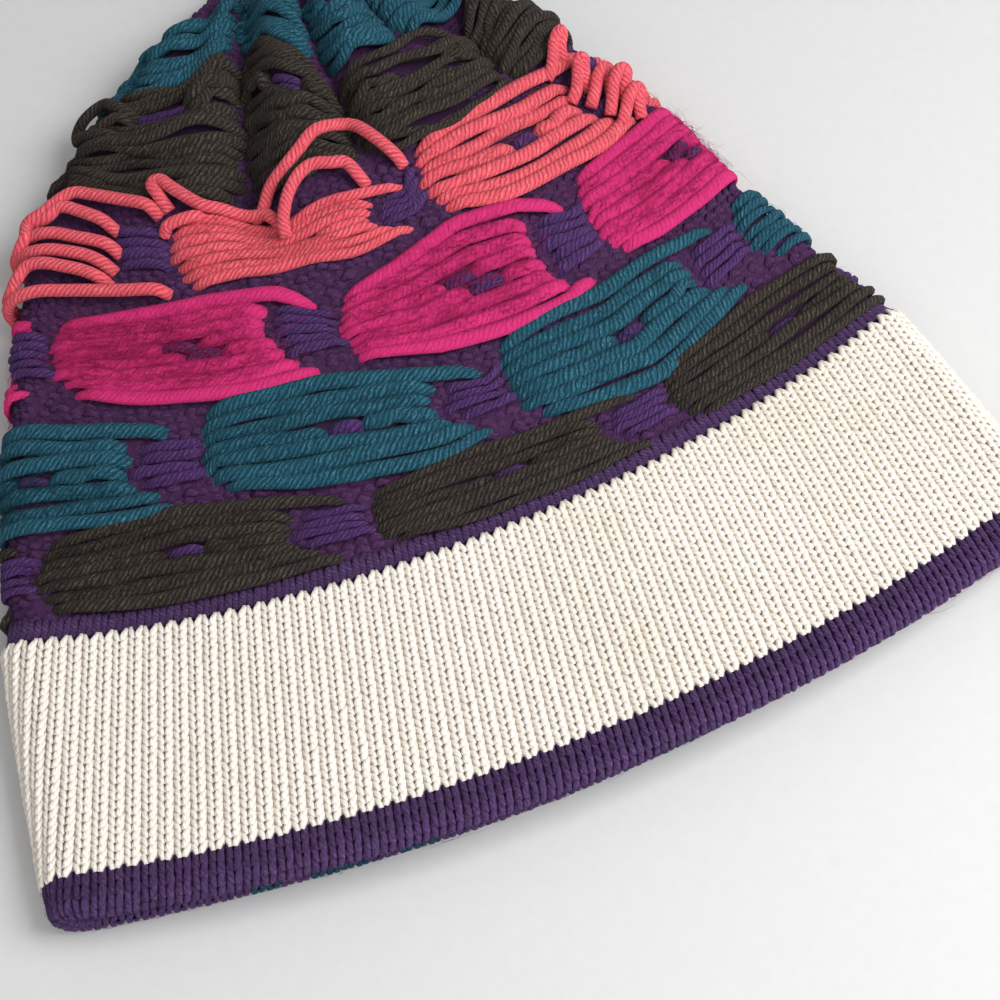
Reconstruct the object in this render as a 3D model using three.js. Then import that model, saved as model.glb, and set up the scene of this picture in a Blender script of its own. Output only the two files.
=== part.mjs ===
// A knitted ski hat, turned inside out and lying flat, in millimetres with +Z up.
// The mouth faces -Y and the gathered crown +Y. All pieces follow one shared surface,
// each at its own depth under it, so the layers nest with one named gap between them.
import * as THREE from "three";

// Driving sizes of the hat as it lies
const HEM_WIDTH = 251;
const HAT_LENGTH = 279.5;
const HEM_HEIGHT = 9.5;
const BAND_HEIGHT = 55;
const HEM_BOW = 19;
const SIDE_ROOM = 3;
const DOME_RISE = 10;
const UNDER_HEM_INSET = 6;
const CROWN_DRIFT = 15;

// Thickness of the layers, and the clearance between them
const KNIT_WALL = 3;
const FACING_WALL = 2.3;
const FLOAT_WALL = 2.3;
const LAYER_GAP = 0.3;
const SIDE_FOLD_RUN = 4.4;

// Relief of the loose yarn and of the gathers
const FLOAT_PUFF = 2.5;
const GATHER_DEPTH = 9;
const UNDER_GATHER = 0.4;

// Shape of the dome across the hat, and of the under layer's set-back at the mouth
const DOME_POWER = 1.5;
const UNDER_HEM_POWER = 4;
const UNDER_HEM_TILT = 0.25;
const FRONT_TURN = 0.25;

// The drawn-up crown: its thickness where it closes, and the inset of its outer tip
const CROWN_END_WALL = 3 * KNIT_WALL;
const CROWN_TIP_INSET = 1.3;

// Flats of the half round nose at the turned hem
const NOSE_STEPS = 4;

// Knitting repeat: six repeats round the hat, ten columns of the lattice in each
const REPEATS = 6;
const REPEAT_COLUMNS = 10;
const COLUMNS = REPEATS * REPEAT_COLUMNS;

// Depths under the outer surface
const BAND_DEPTH = FACING_WALL + LAYER_GAP;
const FLOAT_DEPTH = FLOAT_WALL + LAYER_GAP;
const STACK = Math.max(BAND_DEPTH, FLOAT_DEPTH) + KNIT_WALL;
const HEM_WALL = BAND_DEPTH + KNIT_WALL;
const FOLD_RUN = STACK + SIDE_FOLD_RUN;
const BAND_TOP = HEM_HEIGHT + BAND_HEIGHT;
const BAG_LENGTH = HAT_LENGTH - BAND_TOP;

// Sections from the mouth to the crown. along: share of HAT_LENGTH. flat: share of the widest flat run.
// room: share of SIDE_ROOM. dome: share of DOME_RISE. bow: share of HEM_BOW. drift: share of CROWN_DRIFT.
// lean: columns that the wales have moved sideways. spread: how much wider the columns lie in front.
const SECTIONS = [
  { along: 0.0, flat: 1.0, room: 1.0, dome: 0.35, bow: 1.0, drift: 0.0, lean: 0.35, spread: 0.0 },
  { along: 0.043, flat: 0.991, room: 1.0, dome: 0.4, bow: 1.03, drift: 0.0, lean: 0.35, spread: 0.0 },
  { along: 0.238, flat: 0.931, room: 1.1, dome: 0.6, bow: 1.26, drift: 0.0, lean: 0.35, spread: 0.0 },
  { along: 0.312, flat: 0.881, room: 1.3, dome: 0.75, bow: 1.32, drift: -0.05, lean: 0.35, spread: 0.0 },
  { along: 0.413, flat: 0.799, room: 1.5, dome: 0.9, bow: 1.47, drift: -0.07, lean: 0.3, spread: 0.03 },
  { along: 0.526, flat: 0.717, room: 1.8, dome: 1.0, bow: 1.55, drift: 0.03, lean: 0.2, spread: 0.08 },
  { along: 0.645, flat: 0.593, room: 2.4, dome: 1.0, bow: 1.53, drift: 0.12, lean: 0.0, spread: 0.15 },
  { along: 0.716, flat: 0.494, room: 2.8, dome: 1.0, bow: 1.3, drift: 0.35, lean: -0.2, spread: 0.2 },
  { along: 0.78, flat: 0.407, room: 3.0, dome: 1.0, bow: 1.05, drift: 0.5, lean: -0.3, spread: 0.2 },
  { along: 0.837, flat: 0.32, room: 3.0, dome: 0.95, bow: 0.75, drift: 0.65, lean: -0.4, spread: 0.2 },
  { along: 0.894, flat: 0.242, room: 2.6, dome: 0.85, bow: 0.45, drift: 0.8, lean: -0.4, spread: 0.2 },
  { along: 0.943, flat: 0.147, room: 1.9, dome: 0.6, bow: 0.2, drift: 0.9, lean: -0.4, spread: 0.2 },
  { along: 0.979, flat: 0.06, room: 1.0, dome: 0.3, bow: 0.05, drift: 0.97, lean: -0.4, spread: 0.2 },
  { along: 1.0, flat: 0.01, room: 0.2, dome: 0.1, bow: 0.0, drift: 1.0, lean: -0.4, spread: 0.2 },
];

// Rings of floats. from and to: shares of BAG_LENGTH. first: lattice column of the first bundle.
// puff: share of FLOAT_PUFF that the bundles stand out on the upper side.
const FLOAT_RINGS = [
  { name: "brown_floats", color: 0x3a342e, from: 0.025, to: 0.11, first: 1, puff: 0.4 },
  { name: "teal_floats", color: 0x1d6580, from: 0.122, to: 0.236, first: 7, puff: 0.7 },
  { name: "magenta_floats", color: 0xb8266e, from: 0.256, to: 0.372, first: 3, puff: 0.3 },
  { name: "coral_floats", color: 0xe8606b, from: 0.405, to: 0.532, first: 8, puff: 0.9 },
  { name: "crown_brown_floats", color: 0x3f3933, from: 0.545, to: 0.73, first: 4, puff: 1.0 },
  { name: "crown_teal_floats", color: 0x1f6983, from: 0.749, to: 0.88, first: 9, puff: 1.0 },
];

// Gathers of the crown. turn: share of the way round from the left side fold, over the top.
// spread: half width as a share of the way round. depth: share of GATHER_DEPTH. from: where it starts.
const GATHERS = [
  { turn: 0.03, spread: 0.02, depth: 0.35, from: 0.66 },
  { turn: 0.115, spread: 0.022, depth: 0.5, from: 0.74 },
  { turn: 0.178, spread: 0.026, depth: 1.0, from: 0.52 },
  { turn: 0.268, spread: 0.02, depth: 0.8, from: 0.6 },
  { turn: 0.345, spread: 0.022, depth: 0.35, from: 0.68 },
  { turn: 0.42, spread: 0.024, depth: 0.7, from: 0.64 },
  { turn: 0.57, spread: 0.026, depth: 0.6, from: 0.64 },
  { turn: 0.66, spread: 0.026, depth: 0.75, from: 0.6 },
  { turn: 0.76, spread: 0.026, depth: 0.65, from: 0.64 },
  { turn: 0.85, spread: 0.026, depth: 0.75, from: 0.62 },
  { turn: 0.94, spread: 0.024, depth: 0.5, from: 0.66 },
];
const GATHER_RUN = 0.16;
const CLOSING_START = 0.9;
const CLOSING_GATHER = 0.35;

// Outline of one bundle on the lattice: a round left end and a forked right end, in three rows.
// start and end: columns of whole cells. The cut corners are half cells at the ends of a row.
const BUNDLE_ROWS = [
  { start: 1, end: 8, cutStart: true, cutEnd: true },
  { start: 0, end: 7, cutStart: false, cutEnd: false },
  { start: 1, end: 8, cutStart: true, cutEnd: true },
];
const BUNDLE_RIM = 0.45;

const INNER_STATIONS = [0.36, 0.46, 0.55, 0.64, 0.71, 0.78, 0.85, 0.92];
const CLOSING_STATIONS = [0.94, 0.975, 0.992];

const UP = 1;
const DOWN = -1;

// Smooth value of one column of a table at a share, by a cubic through its rows
function column(table, name, share) {
  let i = 0;
  while (i < table.length - 2 && table[i + 1].along < share) i += 1;
  const before = table[Math.max(i - 1, 0)];
  const low = table[i];
  const high = table[i + 1];
  const after = table[Math.min(i + 2, table.length - 1)];
  const width = high.along - low.along;
  const t = THREE.MathUtils.clamp((share - low.along) / width, 0, 1);
  const lowSlope = ((high[name] - before[name]) / (high.along - before.along)) * width;
  const highSlope = ((after[name] - low[name]) / (after.along - low.along)) * width;
  const t2 = t * t;
  const t3 = t2 * t;
  const ends = (2 * t3 - 3 * t2 + 1) * low[name] + (3 * t2 - 2 * t3) * high[name];
  return ends + (t3 - 2 * t2 + t) * lowSlope + (t3 - t2) * highSlope;
}

// Sizes of the flattened section at a distance from the mouth
function sectionAt(distance) {
  const share = distance / HAT_LENGTH;
  const widestFlat = HEM_WIDTH / 2 - FOLD_RUN;
  return {
    share,
    flat: column(SECTIONS, "flat", share) * widestFlat,
    edge: 2 * STACK + column(SECTIONS, "room", share) * SIDE_ROOM,
    dome: column(SECTIONS, "dome", share) * DOME_RISE,
    bow: column(SECTIONS, "bow", share) * HEM_BOW,
    drift: column(SECTIONS, "drift", share) * CROWN_DRIFT,
    lean: column(SECTIONS, "lean", share),
    spread: column(SECTIONS, "spread", share),
  };
}

// Share of the way round for a lattice column, with the lean and the wider spread in front
function turnOf(latticeColumn, section) {
  const fromFront = (latticeColumn + section.lean) / COLUMNS - FRONT_TURN;
  const wider = (section.spread * Math.sin(2 * Math.PI * fromFront)) / (2 * Math.PI);
  return THREE.MathUtils.euclideanModulo(fromFront + wider + FRONT_TURN, 1);
}

// How deep the gathers press the cloth in, at a share of the way round and of the length
function gatherAt(turn, share) {
  let depth = 0;
  for (const gather of GATHERS) {
    const reach = (turn - gather.turn) / gather.spread;
    const growth = THREE.MathUtils.smoothstep(share, gather.from, gather.from + GATHER_RUN);
    depth += gather.depth * growth * Math.exp(-reach * reach);
  }
  const closing = THREE.MathUtils.smoothstep(share, CLOSING_START, 1);
  return GATHER_DEPTH * depth * (1 - (1 - CLOSING_GATHER) * closing);
}

// Point of the hat's surface: a flat underside, rounded side folds and a domed upper sheet.
// depth is measured inward from the outer surface, and puff lifts the upper side outward.
function surfacePoint(latticeColumn, distance, depth, puff = 0) {
  const section = sectionAt(distance);
  const turn = turnOf(latticeColumn, section);
  const half = section.edge / 2;
  const quarter = (Math.PI / 2) * Math.sqrt((FOLD_RUN * FOLD_RUN + half * half) / 2);
  const halfWay = 2 * section.flat + 2 * quarter;
  const side = turn < 0.5 ? UP : DOWN;
  const travelled = (side === UP ? turn : 1 - turn) * 2 * halfWay;
  const fromLeft = THREE.MathUtils.clamp(travelled, 0, halfWay);
  let x = 0;
  let across = 0;
  let z = half;
  let normalX = 0;
  let normalZ = side;
  if (fromLeft < quarter || fromLeft > halfWay - quarter) {
    const left = fromLeft < quarter;
    const angle = ((left ? fromLeft : halfWay - fromLeft) / quarter) * (Math.PI / 2);
    normalX = (left ? -1 : 1) * Math.cos(angle);
    normalZ = side * Math.sin(angle);
    across = (left ? -1 : 1) * section.flat + normalX * FOLD_RUN;
    x = across - normalX * depth;
    z = half + normalZ * (half - depth);
  } else {
    across = fromLeft - quarter - section.flat;
    x = across;
    z = half + side * (half - depth);
    const reach = section.flat > 0 ? across / section.flat : 0;
    if (side === UP) z += section.dome * Math.pow(1 - reach * reach, DOME_POWER);
  }
  const widest = section.flat + FOLD_RUN;
  const reach = across / widest;
  const inward = gatherAt(turn, section.share);
  const lift = puff * Math.max(normalZ, 0);
  x += section.drift - normalX * inward;
  z += -normalZ * inward * (side === UP ? 1 : UNDER_GATHER) + lift;
  const underSide = Math.max(-normalZ, 0) ** 2;
  const tilted = 1 - UNDER_HEM_TILT + UNDER_HEM_TILT * reach;
  const underHem = UNDER_HEM_INSET * underSide * (1 - reach ** UNDER_HEM_POWER) * tilted;
  const y = distance + section.bow * reach * reach + underHem * (1 - section.share);
  return new THREE.Vector3(x, y, z);
}

// Gathers vertices and triangles of one closed solid
class SolidBuilder {
  constructor() {
    this.positions = [];
    this.triangles = [];
  }

  vertex(point) {
    this.positions.push(point.x, point.y, point.z);
    return this.positions.length / 3 - 1;
  }

  ring(distance, depth) {
    return Array.from({ length: COLUMNS }, (unused, i) => this.vertex(surfacePoint(i, distance, depth)));
  }

  triangle(a, b, c, flip = false) {
    this.triangles.push(...(flip ? [a, c, b] : [a, b, c]));
  }

  // Strip between two rings of equal count. low and high run round in the same order.
  strip(low, high, { flip = false, falling = false } = {}) {
    for (let i = 0; i < low.length; i += 1) {
      const j = (i + 1) % low.length;
      if (falling) {
        this.triangle(low[i], high[i], low[j], flip);
        this.triangle(low[j], high[i], high[j], flip);
      } else {
        this.triangle(low[i], high[j], low[j], flip);
        this.triangle(low[i], high[i], high[j], flip);
      }
    }
  }

  // Fan from a ring to one point
  cap(ring, point, flip = false) {
    const tip = this.vertex(point);
    for (let i = 0; i < ring.length; i += 1) this.triangle(ring[i], tip, ring[(i + 1) % ring.length], flip);
  }

  geometry() {
    const geometry = new THREE.BufferGeometry();
    geometry.setAttribute("position", new THREE.Float32BufferAttribute(this.positions, 3));
    geometry.setIndex(this.triangles);
    geometry.computeVertexNormals();
    return geometry;
  }
}

// Closed ring of cloth: rings of vertices at each [distance, depth] of its profile, joined in turn
function clothRing(profile) {
  const builder = new SolidBuilder();
  const rings = profile.map(([distance, depth]) => builder.ring(distance, depth));
  for (let i = 0; i < rings.length; i += 1) builder.strip(rings[i], rings[(i + 1) % rings.length]);
  return builder.geometry();
}

// Four distances that bound the three rows of a ring of floats
function rowDistances(ring) {
  const start = BAND_TOP + ring.from * BAG_LENGTH;
  const end = BAND_TOP + ring.to * BAG_LENGTH;
  const rows = BUNDLE_ROWS.length;
  return Array.from({ length: rows + 1 }, (unused, k) => start + ((end - start) * k) / rows);
}

// The purple bag: an outer surface and an inner one with fewer rings, open at the mouth
function crownShellGeometry() {
  const builder = new SolidBuilder();
  const bottom = HEM_HEIGHT + LAYER_GAP;
  const stations = [
    { distance: bottom, depth: BAND_DEPTH, falling: false },
    { distance: HEM_HEIGHT + BAND_HEIGHT / 2, depth: BAND_DEPTH, falling: false },
    { distance: BAND_TOP - LAYER_GAP, depth: BAND_DEPTH, falling: false },
  ];
  for (const ring of FLOAT_RINGS) {
    rowDistances(ring).forEach((distance, k) => {
      stations.push({ distance, depth: FLOAT_DEPTH, falling: k === 0 });
    });
  }
  for (const share of CLOSING_STATIONS) {
    stations.push({ distance: share * HAT_LENGTH, depth: FLOAT_DEPTH, falling: false });
  }
  const outer = stations.map((station) => builder.ring(station.distance, station.depth));
  for (let i = 0; i < outer.length - 1; i += 1) {
    builder.strip(outer[i], outer[i + 1], { flip: true, falling: stations[i].falling });
  }
  const innerStations = [bottom, BAND_TOP, ...INNER_STATIONS.map((share) => share * HAT_LENGTH)];
  const innerDepth = (distance) => (distance < BAND_TOP ? BAND_DEPTH : FLOAT_DEPTH) + KNIT_WALL;
  const inner = innerStations.map((distance) => builder.ring(distance, innerDepth(distance)));
  for (let i = 0; i < inner.length - 1; i += 1) builder.strip(inner[i], inner[i + 1]);
  const middle = (distance) => {
    const section = sectionAt(distance);
    return new THREE.Vector3(section.drift, distance, section.edge / 2 + section.dome / 2);
  };
  builder.cap(outer[outer.length - 1], middle(HAT_LENGTH - CROWN_TIP_INSET), true);
  builder.cap(inner[inner.length - 1], middle(HAT_LENGTH - FLOAT_DEPTH - CROWN_END_WALL));
  builder.strip(inner[0], outer[0], { flip: true });
  return builder.geometry();
}

// The cream facing: a ring of cloth from the hem to the band's top
function creamBandGeometry() {
  const low = HEM_HEIGHT + LAYER_GAP;
  const middle = HEM_HEIGHT + BAND_HEIGHT / 2;
  const high = BAND_TOP - LAYER_GAP;
  return clothRing([
    [low, 0],
    [low, FACING_WALL],
    [middle, FACING_WALL],
    [high, FACING_WALL],
    [high, 0],
    [middle, 0],
  ]);
}

// The turned hem: as thick as the band and the bag together, with a round nose at the mouth
function hemGeometry() {
  const radius = HEM_WALL / 2;
  const profile = [[HEM_HEIGHT, 0]];
  for (let k = 0; k <= NOSE_STEPS; k += 1) {
    const angle = (Math.PI * k) / NOSE_STEPS;
    profile.push([radius - radius * Math.sin(angle), radius - radius * Math.cos(angle)]);
  }
  profile.push([HEM_HEIGHT, HEM_WALL], [HEM_HEIGHT, BAND_DEPTH]);
  return clothRing(profile);
}

// Triangles of one bundle on the lattice, as [column, row] corners seen from outside
function bundleTriangles() {
  const triangles = [];
  BUNDLE_ROWS.forEach((row, r) => {
    const lowest = r === 0;
    const highest = r === BUNDLE_ROWS.length - 1;
    const corner = (c, up) => [c, r + up];
    for (let c = row.start; c < row.end; c += 1) {
      if (lowest) {
        triangles.push([corner(c, 0), corner(c + 1, 0), corner(c, 1)]);
        triangles.push([corner(c + 1, 0), corner(c + 1, 1), corner(c, 1)]);
      } else {
        triangles.push([corner(c, 0), corner(c + 1, 0), corner(c + 1, 1)]);
        triangles.push([corner(c, 0), corner(c + 1, 1), corner(c, 1)]);
      }
    }
    if (row.cutStart && lowest) {
      triangles.push([corner(row.start, 0), corner(row.start, 1), corner(row.start - 1, 1)]);
    }
    if (row.cutStart && highest) {
      triangles.push([corner(row.start - 1, 0), corner(row.start, 0), corner(row.start, 1)]);
    }
    if (row.cutEnd && lowest) {
      triangles.push([corner(row.end, 0), corner(row.end + 1, 0), corner(row.end, 1)]);
    }
    if (row.cutEnd && highest) {
      triangles.push([corner(row.end, 0), corner(row.end + 1, 1), corner(row.end, 1)]);
    }
  });
  return triangles;
}

// One bundle of floats: a pad on the bag's own facets, thinner at its rim
function bundleGeometry(ring, repeat) {
  const builder = new SolidBuilder();
  const triangles = bundleTriangles();
  const distances = rowDistances(ring);
  const firstColumn = ring.first + repeat * REPEAT_COLUMNS;
  const key = ([c, r]) => `${c}:${r}`;
  const directed = new Set();
  for (const corners of triangles) {
    corners.forEach((from, k) => directed.add(`${key(from)}>${key(corners[(k + 1) % 3])}`));
  }
  const rimCorners = new Set();
  const rimEdges = [];
  for (const corners of triangles) {
    corners.forEach((from, k) => {
      const to = corners[(k + 1) % 3];
      if (directed.has(`${key(to)}>${key(from)}`)) return;
      rimEdges.push([from, to]);
      rimCorners.add(key(from));
      rimCorners.add(key(to));
    });
  }
  const seats = new Map();
  const tops = new Map();
  const puff = ring.puff * FLOAT_PUFF;
  for (const corners of triangles) {
    for (const corner of corners) {
      const name = key(corner);
      if (seats.has(name)) continue;
      const onRim = rimCorners.has(name);
      const latticeColumn = firstColumn + corner[0];
      const distance = distances[corner[1]];
      seats.set(name, builder.vertex(surfacePoint(latticeColumn, distance, FLOAT_WALL)));
      const topDepth = onRim ? FLOAT_WALL * BUNDLE_RIM : 0;
      tops.set(name, builder.vertex(surfacePoint(latticeColumn, distance, topDepth, onRim ? 0 : puff)));
    }
  }
  for (const [a, b, c] of triangles) {
    builder.triangle(tops.get(key(a)), tops.get(key(b)), tops.get(key(c)));
    builder.triangle(seats.get(key(a)), seats.get(key(c)), seats.get(key(b)));
  }
  for (const [from, to] of rimEdges) {
    builder.triangle(seats.get(key(from)), seats.get(key(to)), tops.get(key(to)));
    builder.triangle(seats.get(key(from)), tops.get(key(to)), tops.get(key(from)));
  }
  return builder.geometry();
}

function piece(name, geometry, color, roughness = 0.95) {
  const mesh = new THREE.Mesh(geometry, new THREE.MeshStandardMaterial({ color, roughness, metalness: 0 }));
  mesh.name = name;
  return mesh;
}

const hat = new THREE.Group();
hat.name = "ski_hat";
hat.add(piece("crown_shell", crownShellGeometry(), 0x3b2352));
hat.add(piece("cream_band", creamBandGeometry(), 0xefe9da, 0.9));
hat.add(piece("hem_edge", hemGeometry(), 0x4a3170));
for (const ring of FLOAT_RINGS) {
  for (let repeat = 0; repeat < REPEATS; repeat += 1) {
    hat.add(piece(`${ring.name}_${repeat + 1}`, bundleGeometry(ring, repeat), ring.color));
  }
}

// The origin is the middle of the underside of the hat's box
const box = new THREE.Box3().setFromObject(hat);
const middle = box.getCenter(new THREE.Vector3());
hat.position.set(-middle.x, -middle.y, -box.min.z);

export default hat;
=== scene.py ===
"""Looks of a knitted ski hat that lies flat, turned inside out.

The hat's surface is one function of a lattice column (60 round) and a distance from the mouth.
Every stitch, float and fibre is placed on it, so the yarn follows the folds of the cloth.
Lengths are millimetres until a mesh is made, and metres in the meshes.
"""

import logging
from dataclasses import dataclass, field, replace
from enum import Enum, IntEnum

import bpy
import numpy as np
from mathutils import Matrix

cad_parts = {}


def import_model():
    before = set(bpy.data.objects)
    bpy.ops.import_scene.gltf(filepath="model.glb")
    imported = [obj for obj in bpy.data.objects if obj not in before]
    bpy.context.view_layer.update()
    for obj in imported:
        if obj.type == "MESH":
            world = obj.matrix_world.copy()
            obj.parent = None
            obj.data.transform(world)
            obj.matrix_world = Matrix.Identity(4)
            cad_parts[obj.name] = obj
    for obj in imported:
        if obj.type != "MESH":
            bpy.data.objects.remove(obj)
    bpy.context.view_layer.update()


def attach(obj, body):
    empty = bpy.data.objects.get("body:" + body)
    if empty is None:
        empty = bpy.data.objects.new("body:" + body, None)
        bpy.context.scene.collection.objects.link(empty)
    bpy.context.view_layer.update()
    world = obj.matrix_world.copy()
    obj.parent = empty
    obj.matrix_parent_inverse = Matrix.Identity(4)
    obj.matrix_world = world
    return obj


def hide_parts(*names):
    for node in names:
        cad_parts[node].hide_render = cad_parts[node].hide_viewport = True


Array = np.ndarray
Colour = tuple[float, float, float]
Point = tuple[float, float, float]
Strand = tuple[int, float, float]

LOG = logging.getLogger("ski_hat")
MM = 0.001
COLUMNS = 60
WALES = 144
COLUMNS_PER_WALE = COLUMNS / WALES
# Millimetres that a column takes round the bag, and round its wider lower half
COLUMN_RUN = 3.6
LOW_COLUMN_RUN = 4.0
TINY = 1e-12
# Least height of any yarn over the floor, in metres
LOWEST_YARN = 0.00003

SECTION_NAMES = ("along", "flat", "room", "dome", "bow", "drift", "lean", "spread")
SECTIONS = np.array(
    [
        (0.0, 1.0, 1.0, 0.35, 1.0, 0.0, 0.35, 0.0),
        (0.043, 0.991, 1.0, 0.4, 1.03, 0.0, 0.35, 0.0),
        (0.238, 0.931, 1.1, 0.6, 1.26, 0.0, 0.35, 0.0),
        (0.312, 0.881, 1.3, 0.75, 1.32, -0.05, 0.35, 0.0),
        (0.413, 0.799, 1.5, 0.9, 1.47, -0.07, 0.3, 0.03),
        (0.526, 0.717, 1.8, 1.0, 1.55, 0.03, 0.2, 0.08),
        (0.645, 0.593, 2.4, 1.0, 1.53, 0.12, 0.0, 0.15),
        (0.716, 0.494, 2.8, 1.0, 1.3, 0.35, -0.2, 0.2),
        (0.78, 0.407, 3.0, 1.0, 1.05, 0.5, -0.3, 0.2),
        (0.837, 0.32, 3.0, 0.95, 0.75, 0.65, -0.4, 0.2),
        (0.894, 0.242, 2.6, 0.85, 0.45, 0.8, -0.4, 0.2),
        (0.943, 0.147, 1.9, 0.6, 0.2, 0.9, -0.4, 0.2),
        (0.979, 0.06, 1.0, 0.3, 0.05, 0.97, -0.4, 0.2),
        (1.0, 0.01, 0.2, 0.1, 0.0, 1.0, -0.4, 0.2),
    ]
)
# Gathers of the crown: turn round the hat, half width, depth, and where along the hat it starts
GATHERS = np.array(
    [
        (0.03, 0.02, 0.35, 0.66),
        (0.115, 0.022, 0.5, 0.74),
        (0.178, 0.026, 1.0, 0.52),
        (0.268, 0.02, 0.8, 0.6),
        (0.345, 0.022, 0.35, 0.68),
        (0.42, 0.024, 0.7, 0.64),
        (0.57, 0.026, 0.6, 0.64),
        (0.66, 0.026, 0.75, 0.6),
        (0.76, 0.026, 0.65, 0.64),
        (0.85, 0.026, 0.75, 0.62),
        (0.94, 0.024, 0.5, 0.66),
    ]
)


class Slot(Enum):
    """Material slots of the record."""

    GROUND = "purple_knit"
    CREAM = "cream_knit"
    HEM = "hem_knit"
    BROWN = "brown_yarn"
    TEAL = "teal_yarn"
    MAGENTA = "magenta_yarn"
    CORAL = "coral_yarn"


class Yarn(IntEnum):
    """The two yarns of a bundle's chart. Each number also sets the yarn's random draws apart."""

    RING = 0
    VIOLET = 1


def smoothstep(low: float | Array, high: float | Array, value: Array) -> Array:
    """Cubic ease from 0 at low to 1 at high.

    Args:
        low: Value where the ease starts.
        high: Value where it ends.
        value: Where to read it.

    Returns:
        The eased share at each value.
    """
    t = np.clip((value - low) / (high - low), 0.0, 1.0)
    return t * t * (3.0 - 2.0 * t)


def unit(vectors: Array) -> Array:
    """Vectors divided by their own lengths."""
    return vectors / np.maximum(np.linalg.norm(vectors, axis=-1, keepdims=True), TINY)


def quad_corners(u0: Array, v0: Array, u1: Array, v1: Array) -> Array:
    """Loop coordinates of quads, whose corners run round from the first pair by way of u1."""
    pairs = ((u0, v0), (u1, v0), (u1, v1), (u0, v1))
    return np.stack([np.stack(pair, -1) for pair in pairs], -2)


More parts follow.
